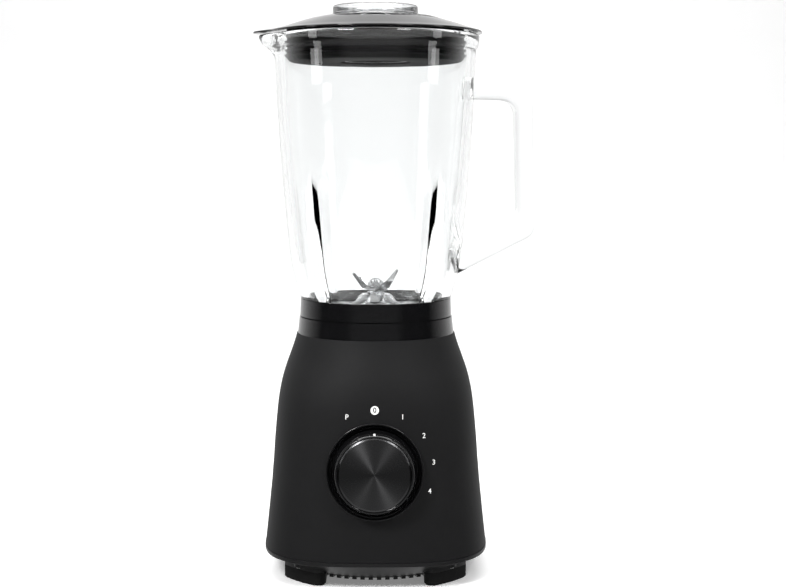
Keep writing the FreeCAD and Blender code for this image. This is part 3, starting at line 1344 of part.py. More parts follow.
def interlock_pin():
    stem = rod(INTERLOCK_PIN_RADIUS, FLANGE_LEVEL, SKIRT_BOTTOM - 0.3, 0, PIN_CIRCLE)
    flange = rod(3.4, FLANGE_LEVEL, FLANGE_LEVEL + PIN_FLANGE, 0, PIN_CIRCLE)
    return fused([stem, flange])


def interlock_spring():
    wire = 0.35
    height = FLANGE_LEVEL - INTERLOCK_FLOOR - 2 * wire - 0.1
    radius = 2.6
    helix = Part.makeHelix(height / 4, height, radius)
    section = Part.Wire(Part.makeCircle(wire, Vector(radius, 0, 0), Vector(0, 1, 0)))
    coil = helix.makePipeShell([section], True, True)
    return moved(coil, 0, PIN_CIRCLE, INTERLOCK_FLOOR + wire + 0.05)


def cord_gland():
    """The bushing in the back wall that the mains lead passes through."""
    inside = SHELL_WALL + 2.6
    neck = ring(GLAND_BORE_RADIUS, GLAND_NECK_RADIUS, -GLAND_LENGTH + 3.0, 3.0)
    outer_flange = ring(GLAND_BORE_RADIUS, GLAND_FLANGE_RADIUS, -1.5, 3.0)
    inner_flange = ring(GLAND_BORE_RADIUS, GLAND_FLANGE_RADIUS - 1.0, -GLAND_LENGTH + 3.0, -inside)
    skin = shell_form(0.0, SHELL_BOTTOM, BODY_TOP)
    return fused([on_back(neck), on_back(outer_flange).cut(skin), on_back(inner_flange)])


# ---- Build and save ------------------------------------------------------------------------

def blade_set():
    """Three two-wing blades. Each wing is span, bend up, sweep, tip width and notches."""
    low, middle, high = BLADE_LEVELS
    parts["lower_blade"] = blade(low, 95.0, [
        (LOWER_BLADE_SPAN, -16.0, -3.0, 6.0),
        (LOWER_BLADE_SPAN, -16.0, -3.0, 6.0),
    ])
    parts["serrated_blade"] = blade(middle, 115.0, [
        (SERRATED_BLADE_SPAN, 34.0, 2.5, 4.0, 5),
        (SERRATED_BLADE_SPAN, 34.0, 2.5, 4.0, 5),
    ])
    parts["upper_blade"] = blade(high, 30.0, [
        (UPPER_BLADE_SPAN, 42.0, 4.0, 1.4),
        (UPPER_BLADE_SPAN, 42.0, 4.0, 1.4),
    ])


blade_set()
for make in (
    body_shell, bottom_cover, rubber_feet, foot_screws, seat_deck, seat_screws,
    knob_bezel, rotary_switch, switch_screws, switch_terminals, cord_gland,
    motor_upper_bracket, motor_lower_bracket, motor_bearings, stator_core, field_coils,
    through_bolts, motor_grommets, motor_screws, brush_holders, carbon_brushes,
    interlock_switch, interlock_spring, interlock_pin,
    motor_shaft, armature_core, armature_winding, commutator, cooling_fan, drive_coupling,
    glass_jug, jug_collar, holder_gasket, blade_holder, blade_bushes, shaft_seal,
    blade_shaft, blade_washers, blade_nut, driven_coupling, coupling_clip,
    lid_cover, lid_plug, lid_seal, measuring_cup,
    knob, knob_disc, switch_shaft, knob_clip,
):
    parts[make.__name__] = make()
parts["knob_pointer"] = on_front(knob_pointer_form())

os.makedirs("parts", exist_ok=True)
for name, shape in parts.items():
    shape.exportStep("parts/" + name + ".step")
    print(name, "solids", len(shape.Solids), "valid", shape.isValid(), "mm3", round(shape.Volume))
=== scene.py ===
# %% [markdown]
# # A countertop blender
# This lesson dresses a finished mechanical model of a countertop blender: a matte moulded base, gloss
# black rings, a pressed glass jug, a domed lid and a round dial. The mechanical parts arrive as a fixed
# frame, so the first cell loads it, and everything after that is about shape in the small and surface.

# %% Load the frame
import json
import math

import bmesh
import bpy
from mathutils import Matrix, Vector


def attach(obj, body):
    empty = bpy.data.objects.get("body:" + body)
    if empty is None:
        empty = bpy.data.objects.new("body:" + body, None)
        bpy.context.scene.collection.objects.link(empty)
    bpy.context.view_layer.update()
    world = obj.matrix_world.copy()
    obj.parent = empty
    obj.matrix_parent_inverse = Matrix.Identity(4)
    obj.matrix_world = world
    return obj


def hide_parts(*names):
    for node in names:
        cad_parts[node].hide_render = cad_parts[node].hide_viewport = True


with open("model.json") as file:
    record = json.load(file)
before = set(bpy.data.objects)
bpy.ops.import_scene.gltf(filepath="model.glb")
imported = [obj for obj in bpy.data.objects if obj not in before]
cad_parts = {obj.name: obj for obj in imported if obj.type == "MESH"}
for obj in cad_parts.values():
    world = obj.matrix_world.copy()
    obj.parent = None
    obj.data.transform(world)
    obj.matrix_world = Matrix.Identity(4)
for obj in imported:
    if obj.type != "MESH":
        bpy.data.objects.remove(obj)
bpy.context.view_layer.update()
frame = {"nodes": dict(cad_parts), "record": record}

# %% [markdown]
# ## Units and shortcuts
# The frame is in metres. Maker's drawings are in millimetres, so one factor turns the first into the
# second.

MM = 0.001
record = frame["record"]

# %% [markdown]
# ## Camera
# A product picture of a tall appliance is taken from a little above the jug's middle, from far enough
# away that the verticals stay parallel. A long lens a metre off, tipped down by five and a half degrees,
# shows the collar rings as shallow ellipses.

# %% Camera
SENSOR_WIDTH = 36.0
LENS = 68.7
CAMERA_PLACE = Vector((0.01207, -1.045, 0.29244))
CAMERA_PITCH = 5.529

camera_data = bpy.data.cameras.new("camera")
camera_data.sensor_width = SENSOR_WIDTH
camera_data.lens = LENS
camera = bpy.data.objects.new("camera", camera_data)
camera.location = CAMERA_PLACE
camera.rotation_euler = (math.radians(90 - CAMERA_PITCH), 0, 0)
bpy.context.scene.collection.objects.link(camera)
bpy.context.scene.camera = camera
print("camera looks down by", CAMERA_PITCH, "degrees")

# %% [markdown]
# ## Colours and nodes
# Colours are written as sRGB hex, as a colour card gives them, and one function turns them to the linear
# values that shading works in. A second function adds one node to a material, with its own settings and
# whatever is plugged into it.


# %% Colour and node helpers
def linear(code, alpha=1.0):
    """An sRGB hex colour as linear red, green, blue and alpha."""
    channels = [int(code[i:i + 2], 16) / 255 for i in (1, 3, 5)]
    straight = [c / 12.92 if c <= 0.04045 else ((c + 0.055) / 1.055) ** 2.4 for c in channels]
    return (*straight, alpha)


def add(tree, kind, plugs=None, **settings):
    """Adds a node; `plugs` maps an input's name or number to a value or to another node's output."""
    node = tree.nodes.new(kind)
    for name, value in settings.items():
        setattr(node, name, value)
    for name, value in (plugs or {}).items():
        if isinstance(value, bpy.types.NodeSocket):
            tree.links.new(value, node.inputs[name])
        else:
            node.inputs[name].default_value = value
    return node


def new_material(name):
    """An empty material with its shader and output, ready for its own surface."""
    material = bpy.data.materials.new(name)
    material.use_nodes = True
    tree = material.node_tree
    tree.nodes.clear()
    shader = add(tree, "ShaderNodeBsdfPrincipled")
    add(tree, "ShaderNodeOutputMaterial", {"Surface": shader.outputs[0]})
    place = add(tree, "ShaderNodeTexCoord").outputs["Object"]
    return material, tree, shader, place


def per_metre(size_mm):
    """How many features of this size fit in a metre: a pattern's scale."""
    return 1000.0 / size_mm


# %% [markdown]
# ## Floor
# The sweep is a pale board that curves up behind the object, so no horizon shows. It glows a little, as a
# board lit from behind does, which keeps it white. It is left out of mirror reflections, so that the black
# gloss takes its reflections from the room and the lamps.

# %% Sweep
SWEEP_HALF_WIDTH = 1.0
SWEEP_FRONT = -1.9
SWEEP_BACK = 1.7
SWEEP_RADIUS = 0.9
SWEEP_TOP = 2.4


def make_sweep():
    """A floor that bends up into a backdrop, from one profile drawn out sideways."""
    profile = [(SWEEP_FRONT, 0.0), (SWEEP_BACK - SWEEP_RADIUS, 0.0)]
    for step in range(1, 13):
        angle = math.pi / 2 * step / 12
        back, up = 1 - math.sin(angle), 1 - math.cos(angle)
        profile.append((SWEEP_BACK - SWEEP_RADIUS * back, SWEEP_RADIUS * up))
    profile.append((SWEEP_BACK, SWEEP_TOP))
    points = [(x, y, z) for y, z in profile for x in (-SWEEP_HALF_WIDTH, SWEEP_HALF_WIDTH)]
    faces = [(2 * i, 2 * i + 1, 2 * i + 3, 2 * i + 2) for i in range(len(profile) - 1)]
    mesh = bpy.data.meshes.new("sweep")
    mesh.from_pydata(points, [], faces)
    mesh.shade_smooth()
    return bpy.data.objects.new("sweep", mesh)


sweep = make_sweep()
bpy.context.scene.collection.objects.link(sweep)

paper, tree, shader, place = new_material("white_paper_sweep")
fibre = add(tree, "ShaderNodeTexNoise", {"Vector": place, "Scale": per_metre(8.0), "Detail": 3.0})
tone = add(tree, "ShaderNodeMapRange", {"Value": fibre.outputs["Fac"], "To Min": 0.93, "To Max": 0.96})
tree.links.new(tone.outputs[0], shader.inputs["Base Color"])
shader.inputs["Roughness"].default_value = 0.9
shader.inputs["Specular IOR Level"].default_value = 0.1
shader.inputs["Emission Color"].default_value = linear("#ffffff")
shader.inputs["Emission Strength"].default_value = 0.2
sweep.data.materials.append(paper)
sweep.visible_glossy = False
print("sweep is", 2 * SWEEP_HALF_WIDTH, "m wide")

# %% [markdown]
# ## Room light
# The room is white behind the object and dark on the camera's side, so that black gloss stays black.
# In front of the object it has a dim wide panel, and low down a pale table top. What is left between them
# stays dark, as clear glass needs something dark to be seen by.

# %% Room light
room = bpy.data.worlds.new("white_room")
bpy.context.scene.world = room
room.use_nodes = True
room.node_tree.nodes.clear()
direction = add(room.node_tree, "ShaderNodeTexCoord").outputs["Generated"]
axes = add(room.node_tree, "ShaderNodeSeparateXYZ", {"Vector": direction})
depth = add(room.node_tree, "ShaderNodeMapRange", {
    "Value": axes.outputs["Y"], "From Min": -0.05, "From Max": 0.7})
shade = add(room.node_tree, "ShaderNodeValToRGB", {"Fac": depth.outputs[0]})
shade.color_ramp.elements[0].color = linear("#101011")
shade.color_ramp.elements[1].color = linear("#ffffff")
sideways = add(room.node_tree, "ShaderNodeMath", {0: axes.outputs["X"]}, operation="ABSOLUTE")
panel = add(room.node_tree, "ShaderNodeMapRange", {
    "Value": sideways.outputs[0], "From Min": 0.5, "From Max": 0.7, "To Min": 0.16, "To Max": 0.0})
front = add(room.node_tree, "ShaderNodeMath", {0: axes.outputs["Y"], 1: 0.0}, operation="LESS_THAN")
table = add(room.node_tree, "ShaderNodeMapRange", {
    "Value": axes.outputs["Z"], "From Min": -0.25, "From Max": -0.5, "To Min": 0.0, "To Max": 0.5})
ahead = add(room.node_tree, "ShaderNodeMath", {0: panel.outputs[0], 1: table.outputs[0]}, operation="ADD")
in_front = add(room.node_tree, "ShaderNodeMath", {
    0: ahead.outputs[0], 1: front.outputs[0]}, operation="MULTIPLY")
glow = add(room.node_tree, "ShaderNodeBackground", {"Color": shade.outputs[0], "Strength": 1.0})
dim = add(room.node_tree, "ShaderNodeBackground", {"Strength": in_front.outputs[0]})
both = add(room.node_tree, "ShaderNodeAddShader", {0: glow.outputs[0], 1: dim.outputs[0]})
add(room.node_tree, "ShaderNodeOutputWorld", {"Surface": both.outputs[0]})
print("room light has", len(room.node_tree.nodes), "nodes")

# %% [markdown]
# ## Lamps
# A wide soft box hangs overhead, and a tall one stands at each side. Two small ones, high in front to the
# left and right, are there for the spun disc of the dial, and the left one is the stronger.

# %% Lamps
def soft_box(name, place, aim, width, height, power):
    """A rectangular studio light at a place, aimed at a point."""
    data = bpy.data.lights.new(name, "AREA")
    data.shape = "RECTANGLE"
    data.size = width
    data.size_y = height
    data.energy = power
    lamp = bpy.data.objects.new(name, data)
    lamp.location = place
    lamp.rotation_euler = (Vector(aim) - Vector(place)).to_track_quat("-Z", "Y").to_euler()
    bpy.context.scene.collection.objects.link(lamp)


soft_box("overhead", (0.0, 0.15, 1.7), (0, 0, 0.1), 1.8, 1.2, 26)
soft_box("left_box", (-0.95, -0.35, 0.75), (0, 0, 0.25), 0.22, 1.0, 2.5)
soft_box("right_box", (0.95, -0.35, 0.75), (0, 0, 0.25), 0.22, 1.0, 2.5)
soft_box("dial_box", (-0.55, -0.85, 0.95), (0, -0.07, 0.09), 0.3, 0.3, 12)
soft_box("dial_box_right", (0.55, -0.85, 0.95), (0, -0.07, 0.09), 0.3, 0.3, 5)
bpy.context.scene.view_settings.view_transform = "Standard"
print("lamps placed")

# %% [markdown]
# ## Moulded, plated and wound surfaces
# Most pieces are one plain material each: moulded plastic, rubber, plated steel, brass, wire. What tells
# them apart is how shiny they are and how fine their grain is. One function makes such a surface: a base
# colour with a little uneven tone, a roughness that wanders, and a shallow grain of a real size.


# %% Plain finishes
def plain_surface(name, colour, roughness, grain_mm, grain_depth, metal=0.0, tone=0.06, wander=0.05, ior=1.5):
    """A surface with uneven tone, wandering roughness and a shallow grain."""
    material, tree, shader, place = new_material(name)
    broad = add(tree, "ShaderNodeTexNoise", {"Vector": place, "Scale": per_metre(24.0), "Detail": 4.0})
    grain = add(tree, "ShaderNodeTexNoise", {"Vector": place, "Scale": per_metre(grain_mm), "Detail": 2.0})
    dark = tuple(channel * (1 - tone) for channel in linear(colour)[:3]) + (1.0,)
    light = tuple(min(1.0, channel * (1 + tone)) for channel in linear(colour)[:3]) + (1.0,)
    ramp = add(tree, "ShaderNodeValToRGB", {"Fac": broad.outputs["Fac"]})
    ramp.color_ramp.elements[0].position = 0.3
    ramp.color_ramp.elements[0].color = dark
    ramp.color_ramp.elements[1].position = 0.7
    ramp.color_ramp.elements[1].color = light
    polish = add(tree, "ShaderNodeMapRange", {
        "Value": grain.outputs["Fac"], "To Min": roughness - wander, "To Max": roughness + wander})
    bump = add(tree, "ShaderNodeBump", {
        "Height": grain.outputs["Fac"], "Strength": grain_depth, "Distance": 0.1 * grain_mm * MM})
    tree.links.new(ramp.outputs[0], shader.inputs["Base Color"])
    tree.links.new(polish.outputs[0], shader.inputs["Roughness"])
    tree.links.new(bump.outputs[0], shader.inputs["Normal"])
    shader.inputs["Metallic"].default_value = metal
    if metal < 0.5:
        shader.inputs["IOR"].default_value = ior
    return material


finishes = {
    # ABS from a spark-eroded mould: an even, dry black with a fine sandy grain.
    "matte_black_shell": plain_surface("spark_eroded_abs", "#121213", 0.62, 0.9, 0.5, ior=1.28),
    # ABS from a finer mould: the same black with a low sheen.
    "black_cover": plain_surface("satin_abs", "#121213", 0.45, 0.8, 0.35, ior=1.45),
    # Moulded nitrile rubber: a soft black, very dull, slightly pitted.
    "black_rubber": plain_surface("moulded_rubber", "#161616", 0.7, 1.2, 0.6, tone=0.15, ior=1.2),
    # ABS from a mirror-polished mould: black with sharp reflections.
    "gloss_black": plain_surface(
        "polished_abs", "#0d0d0e", 0.07, 6.0, 0.02, tone=0.02, wander=0.015, ior=1.54),
    # Steel with a bright zinc plate: pale and slightly cloudy.
    "zinc_steel": plain_surface("zinc_plated_steel", "#c9cac8", 0.3, 0.7, 0.2, metal=1.0),
    # Glass-filled nylon: a dark grey engineering plastic.
    "switch_body": plain_surface("filled_nylon", "#4a4b4e", 0.5, 0.8, 0.3, ior=1.53),
    # Turned brass.
    "brass": plain_surface("turned_brass", "#c9a252", 0.28, 0.5, 0.25, metal=1.0),
    # Die-cast aluminium: light grey with a grainy skin.
    "cast_aluminium": plain_surface("cast_aluminium", "#b4b5b6", 0.48, 1.4, 0.7, metal=1.0, tone=0.1),
    # Stamped electrical steel, stacked.
    "lamination_steel": plain_surface("lamination_steel", "#6f7072", 0.42, 0.5, 0.8, metal=1.0, tone=0.12),
    # Copper wire under red-brown enamel.
    "copper_enamel": plain_surface("enamelled_copper", "#8a3d1f", 0.3, 0.8, 1.0, metal=0.9, tone=0.2),
    # Bare turned copper bars.
    "copper": plain_surface("turned_copper", "#c67a52", 0.26, 0.5, 0.3, metal=1.0),
    # Pressed carbon: dull, near black.
    "carbon": plain_surface("pressed_carbon", "#2b2b2c", 0.7, 0.6, 0.8),
    # Natural nylon: a milky white.
    "white_nylon": plain_surface("natural_nylon", "#dad9d2", 0.4, 1.0, 0.2, ior=1.53),
    # Black nylon of the two couplings.
    "black_nylon": plain_surface("black_nylon", "#1f1f20", 0.45, 0.9, 0.4, ior=1.53),
    # Pad-printed white ink: flat, with a trace of the wall's grain.
    "white_print": plain_surface("pad_printed_white", "#f2f2f0", 0.45, 0.6, 0.2, tone=0.02),
}
print(len(finishes), "plain finishes")

# %% [markdown]
# ## Clear surfaces
# The jug is pressed soda-lime glass: clear, thick, with the faint long ripple that a plunger leaves. The
# measuring cup is a clear moulded plastic, which bends light a little more and is a touch less polished.
# The gasket between jug and blades is clear silicone, softer to the eye and slightly cloudy.

# %% Glass and clear plastic
def clear_surface(name, tint, ior, roughness, ripple_mm, ripple_depth):
    """A clear body: light goes through it, bent by its IOR and by a slow ripple in its surface."""
    material, tree, shader, place = new_material(name)
    wave = add(tree, "ShaderNodeTexNoise", {"Vector": place, "Scale": per_metre(ripple_mm), "Detail": 1.0})
    bump = add(tree, "ShaderNodeBump", {
        "Height": wave.outputs["Fac"], "Strength": ripple_depth, "Distance": 0.02 * ripple_mm * MM})
    tree.links.new(bump.outputs[0], shader.inputs["Normal"])
    shader.inputs["Base Color"].default_value = linear(tint)
    shader.inputs["Transmission Weight"].default_value = 1.0
    shader.inputs["Roughness"].default_value = roughness
    shader.inputs["IOR"].default_value = ior
    return material


# Soda-lime glass: colourless, fully sharp, with a slow ripple that bends the lines seen through it.
finishes["clear_glass"] = clear_surface("pressed_soda_lime_glass", "#fdfefe", 1.5, 0.0, 22.0, 0.12)
# Moulded silicone: greyer and softly frosted, so it reads as a cloudy band.
finishes["clear_silicone"] = clear_surface("clear_silicone", "#c9cac8", 1.41, 0.12, 4.0, 0.1)
# Clear styrene: bends light more than glass and is a touch less sharp.
finishes["clear_plastic"] = clear_surface("clear_styrene", "#fcfdfe", 1.55, 0.02, 15.0, 0.1)
print("clear finishes made")

# %% [markdown]
# ## Worked metal
# The blades are stamped from stainless sheet and polished along their length. The dial's disc is turned
# on a lathe with a fine feed and then anodised black. The feed leaves thousands of rings, and rings spread
# a lamp's reflection across them, so each lamp shows as a pair of bright wedges that meet at the centre.


# %% Stainless and spun metal
def brushed_stainless():
    """Polished stainless with fine straight scratches about a third of a millimetre apart."""
    material, tree, shader, place = new_material("polished_stainless")
    stretched = add(tree, "ShaderNodeMapping", {"Vector": place, "Scale": (1.0, 1.0, 8.0)})
    scratch = add(tree, "ShaderNodeTexNoise", {
        "Vector": stretched.outputs[0], "Scale": per_metre(2.6), "Detail": 5.0})
    polish = add(tree, "ShaderNodeMapRange", {"Value": scratch.outputs["Fac"], "To Min": 0.1, "To Max": 0.3})
    bump = add(tree, "ShaderNodeBump", {
        "Height": scratch.outputs["Fac"], "Strength": 0.15, "Distance": 0.02 * MM})
    tree.links.new(polish.outputs[0], shader.inputs["Roughness"])
    tree.links.new(bump.outputs[0], shader.inputs["Normal"])
    shader.inputs["Base Color"].default_value = linear("#c8c9ca")
    shader.inputs["Metallic"].default_value = 1.0
    return material


RING_PITCH_MM = 0.7  # the real feed is about 0.1 mm, too fine to show, so it is drawn coarser
ACROSS_THE_RINGS = 0.25  # a quarter turn, so that the highlight stretches across the rings


def spun_metal():
    """Black-anodised spun aluminium: rings about the disc's own centre, and a stretched highlight."""
    material, tree, shader, place = new_material("spun_anodised_aluminium")
    flat = add(tree, "ShaderNodeVectorMath", {0: place, 1: (1.0, 1.0, 0.0)}, operation="MULTIPLY")
    radius = add(tree, "ShaderNodeVectorMath", {0: flat.outputs[0]}, operation="LENGTH")
    turns = add(tree, "ShaderNodeMath", {
        0: radius.outputs["Value"], 1: 2 * math.pi * per_metre(RING_PITCH_MM)}, operation="MULTIPLY")
    groove = add(tree, "ShaderNodeMath", {0: turns.outputs[0]}, operation="SINE")
    bump = add(tree, "ShaderNodeBump", {"Height": groove.outputs[0], "Strength": 0.1, "Distance": 0.01 * MM})
    tangent = add(tree, "ShaderNodeTangent", direction_type="RADIAL", axis="Z")
    grain = add(tree, "ShaderNodeTexNoise", {"Vector": place, "Scale": per_metre(0.5), "Detail": 2.0})
    tone = add(tree, "ShaderNodeMapRange", {"Value": grain.outputs["Fac"], "To Min": 0.24, "To Max": 0.32})
    tree.links.new(tone.outputs[0], shader.inputs["Roughness"])
    tree.links.new(bump.outputs[0], shader.inputs["Normal"])
    tree.links.new(tangent.outputs[0], shader.inputs["Tangent"])
    shader.inputs["Base Color"].default_value = linear("#5c5c5d")
    shader.inputs["Metallic"].default_value = 1.0
    shader.inputs["Anisotropic"].default_value = 0.9
    shader.inputs["Anisotropic Rotation"].default_value = ACROSS_THE_RINGS
    return material


finishes["blade_steel"] = brushed_stainless()
finishes["spun_dark_metal"] = spun_metal()
print(len(finishes), "finishes in all")

# %% [markdown]
# ## Dress the mechanical parts
# Each part of the frame names a finish in the record. The parts come in as flat facets. A node tree joins
# their points and shades every curved stretch smooth, but keeps the real edges hard. Then each hard edge
# gets a small rounding, as every moulded or machined edge has.

# %% Finishes on the frame's own parts
EDGE_ROUND_MM = 0.3
HARD_EDGE_DEGREES = 28
slots = {part["node"]: part["material_slot"] for part in record["subparts"]}


def softening_tree():
    """Joins facets and shades them smooth, except across edges sharper than the hard-edge angle."""
    tree = bpy.data.node_groups.new("join_and_smooth", "GeometryNodeTree")
    tree.interface.new_socket("Geometry", in_out="INPUT", socket_type="NodeSocketGeometry")
    tree.interface.new_socket("Geometry", in_out="OUTPUT", socket_type="NodeSocketGeometry")
    source = add(tree, "NodeGroupInput").outputs[0]
    joined = add(tree, "GeometryNodeMergeByDistance", {"Geometry": source, "Distance": 0.004 * MM})
    smooth = add(tree, "GeometryNodeSetShadeSmooth", {"Geometry": joined.outputs[0]}, domain="FACE")
    angle = add(tree, "GeometryNodeInputMeshEdgeAngle").outputs["Unsigned Angle"]
    hard = add(tree, "FunctionNodeCompare", {
        "A": angle, "B": math.radians(HARD_EDGE_DEGREES)}, data_type="FLOAT", operation="GREATER_THAN")
    edged = add(tree, "GeometryNodeSetShadeSmooth", {
        "Geometry": smooth.outputs[0], "Selection": hard.outputs[0], "Shade Smooth": False}, domain="EDGE")
    add(tree, "NodeGroupOutput", {0: edged.outputs[0]})
    return tree


softening = softening_tree()


def dress(node):
    """Gives one part of the frame its finish, smooth shading and rounded edges."""
    part = frame["nodes"][node]
    for holder in part.material_slots:
        holder.material = finishes[slots[node]]
    part.modifiers.new("join_and_smooth", "NODES").node_group = softening
    rounding = part.modifiers.new("round_edges", "BEVEL")
    rounding.width = EDGE_ROUND_MM * MM
    rounding.segments = 2
    rounding.limit_method = "ANGLE"
    rounding.angle_limit = math.radians(HARD_EDGE_DEGREES)
    rounding.harden_normals = True


for node in frame["nodes"]:
    dress(node)
print(len(frame["nodes"]), "parts dressed")

# %% [markdown]
# ## Turned pieces
# The lid, the cup, the dial's ring and the knob are all round, so one function turns a half outline about
# an axis. Each corner of the outline carries its own rounding, because no moulded corner is truly sharp,
# and that rounding is what draws the thin bright line along an edge.


# %% Turning helpers
def rounded(corners, steps=5):
    """Points along (radius, height, rounding) corners in mm, each corner eased by its rounding."""
    count = len(corners)
    points = []
    for index, (radius, height, rounding) in enumerate(corners):
        here = Vector((radius, height))
        if rounding == 0:
            points.append(here)
            continue
        before = Vector(corners[index - 1][:2]) - here
        after = Vector(corners[(index + 1) % count][:2]) - here
        reach = min(rounding, before.length * 0.48, after.length * 0.48)
        start, end = here + before.normalized() * reach, here + after.normalized() * reach
        for step in range(steps + 1):
            t = step / steps
            points.append(start * (1 - t) ** 2 + here * 2 * t * (1 - t) + end * t * t)
    return points


def new_piece(mesh, slot, body, *nodes, stand=None):
    """A piece named after its mesh, with its finish, its place, its moving body and the parts it replaces."""
    piece = bpy.data.objects.new(mesh.name, mesh)
    mesh.materials.clear()
    mesh.materials.append(finishes[slot])
    bpy.context.scene.collection.objects.link(piece)
    if stand:
        piece.matrix_world = stand
    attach(piece, body)
    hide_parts(*nodes)
    return piece


def grid_mesh(name, rings, around, loop):
    """Joins rings of points into a skin; a ring of one point closes to a tip."""
    mesh = bpy.data.meshes.new(name)
    points, starts = [], []
    for ring in rings:
        starts.append(len(points))
        points.extend(ring)
    faces = []
    pairs = list(zip(range(len(rings)), range(1, len(rings))))
    if loop:
        pairs.append((len(rings) - 1, 0))
    for low, high in pairs:
        for step in range(around):
            turn = (step + 1) % around
            a = starts[low] + (step if len(rings[low]) > 1 else 0)
            b = starts[low] + (turn if len(rings[low]) > 1 else 0)
            c = starts[high] + (turn if len(rings[high]) > 1 else 0)
            d = starts[high] + (step if len(rings[high]) > 1 else 0)
            faces.append(list(dict.fromkeys((a, b, c, d))))
    mesh.from_pydata(points, [], faces)
    mesh.update()
    work = bmesh.new()
    work.from_mesh(mesh)
    bmesh.ops.recalc_face_normals(work, faces=work.faces)
    work.to_mesh(mesh)
    work.free()
    mesh.shade_smooth()
    mesh.set_sharp_from_angle(angle=math.radians(48))
    return mesh


def turn_outline(name, outline, around=160, swell=None):
    """Turns an outline in mm about Z; `swell(angle, radius, height)` may add to a point's radius in mm."""
    closed_ring = min(point[0] for point in outline) > 0.01
    rings = []
    for radius, height in outline:
        if radius < 0.01:
            rings.append([(0, 0, height * MM)])
            continue
        ring = []
        for step in range(around):
            angle = 2 * math.pi * step / around
            reach = radius + (swell(angle, radius, height) if swell else 0)
            ring.append((reach * math.cos(angle) * MM, reach * math.sin(angle) * MM, height * MM))
        rings.append(ring)
    return grid_mesh(name, rings, around, closed_ring)


def ease(value, low, high):
    """Nought below `low`, one above `high`, and a smooth step in between."""
    t = max(0.0, min(1.0, (value - low) / (high - low)))
    return t * t * (3 - 2 * t)


print("turning helpers ready")

# %% [markdown]
# ## The glass jug
# The jug is pressed in one go: molten glass in a mould, a plunger for the inside. So the wall is thick, its
# corners are soft, four ribs run up the inside, the rim has a bead and a beak, and the handle is solid
# glass joined to the wall. The wall here is one skin, outside up and inside down. The beak and the ribs
# are swellings of that skin, as they are in the mould. The handle is then joined on.

# %% Jug sizes
NECK_BOTTOM, SHOULDER, SIDE_TOP, RIM_TOP = 182.6, 189.2, 359.4, 370.0
NECK_RADIUS, NECK_BORE = 49.8, 43.4
SHOULDER_RADIUS, TOP_RADIUS, WALL, BEAD = 52.6, 69.4, 6.2, 2.2
SIDE = ((0, 0), (.034, .11), (.1, .3), (.166, .417), (.363, .605), (.559, .765), (.78, .9), (1, 1))
BEAK_REACH, BEAK_TURN = 80.5, 24
RIB_HALF_WIDTH, RIB_DEPTH, RIB_FULL_TO, RIB_TOP = 6.4, 5.2, 209.6, 286.0
JUG_STEPS = 432


def side_radius(height):
    """The jug's outer radius at a height, as a smooth curve through the side's own points."""
    share = (height - SHOULDER) / (SIDE_TOP - SHOULDER)
    for index in range(len(SIDE) - 1):
        (s0, r0), (s1, r1) = SIDE[index], SIDE[index + 1]
        if share <= s1 or index == len(SIDE) - 2:
            before = SIDE[max(index - 1, 0)]
            after = SIDE[min(index + 2, len(SIDE) - 1)]
            slope0 = (r1 - before[1]) / (s1 - before[0])
            slope1 = (after[1] - r0) / (after[0] - s0)
            t, gap = (share - s0) / (s1 - s0), s1 - s0
            value = ((2 * t ** 3 - 3 * t ** 2 + 1) * r0 + (t ** 3 - 2 * t ** 2 + t) * gap * slope0
                     + (3 * t ** 2 - 2 * t ** 3) * r1 + (t ** 3 - t ** 2) * gap * slope1)
            return SHOULDER_RADIUS + (TOP_RADIUS - SHOULDER_RADIUS) * value


def beak(angle, height):
    """How far the rim is drawn out towards -X, in mm."""
    turn = abs(math.degrees(angle) - 180)
    narrow = (0.5 + 0.5 * math.cos(math.pi * min(turn / BEAK_TURN, 1))) ** 1.4
    return (BEAK_REACH - TOP_RADIUS - BEAD) * narrow * ease(height, RIM_TOP - 17, RIM_TOP - 1)


def rib(angle, radius, height):
    """How far the four inner ribs stand in from the wall, in mm."""
    away = (math.degrees(angle) % 90 - 45) * math.pi / 180 * radius
    wedge = max(0.0, 1 - abs(away) / RIB_HALF_WIDTH)
    fade = 1 - (height - RIB_FULL_TO) / (RIB_TOP - RIB_FULL_TO) if height > RIB_FULL_TO else 1.0
    foot = ease(height, NECK_BOTTOM + 3, SHOULDER + 4)
    return RIB_DEPTH * wedge * max(0.0, fade) * foot


levels = [SHOULDER + (SIDE_TOP - SHOULDER) * step / 70 for step in range(71)]
bead_radius = TOP_RADIUS + BEAD
outside = rounded([(NECK_RADIUS, NECK_BOTTOM, 0.8), (NECK_RADIUS, SHOULDER - 0.5, 0)])[3:]
outside += [Vector((side_radius(z), z)) for z in levels]
rim = rounded([
    (TOP_RADIUS, SIDE_TOP, 0), (bead_radius - 0.3, SIDE_TOP + 3.0, 1.6), (bead_radius, RIM_TOP, 2.2),
    (TOP_RADIUS - WALL + 2.4, RIM_TOP, 2.6), (TOP_RADIUS - WALL, SIDE_TOP + 2, 0)], 7)[1:-1]
inside = [Vector((side_radius(z) - WALL, z)) for z in reversed(levels)]
inside += rounded([
    (NECK_BORE + 3, SHOULDER + 1, 0), (NECK_BORE, SHOULDER - 3, 3), (NECK_BORE, NECK_BOTTOM, 0.8)])[1:]


def jug_skin():
    """The jug's wall, with its beak and ribs, before the handle is joined on."""
    rings = []
    for number, (radius, height) in enumerate(outside + rim + inside):
        inner = number >= len(outside) + len(rim)
        ring = []
        for step in range(JUG_STEPS):
            angle = 2 * math.pi * step / JUG_STEPS
            reach = radius + beak(angle, height) - (rib(angle, radius, height) if inner else 0)
            ring.append((reach * math.cos(angle) * MM, reach * math.sin(angle) * MM, height * MM))
        rings.append(ring)
    return grid_mesh("jug_skin", rings, JUG_STEPS, True)


print("wall outline has", len(outside + rim + inside), "points")

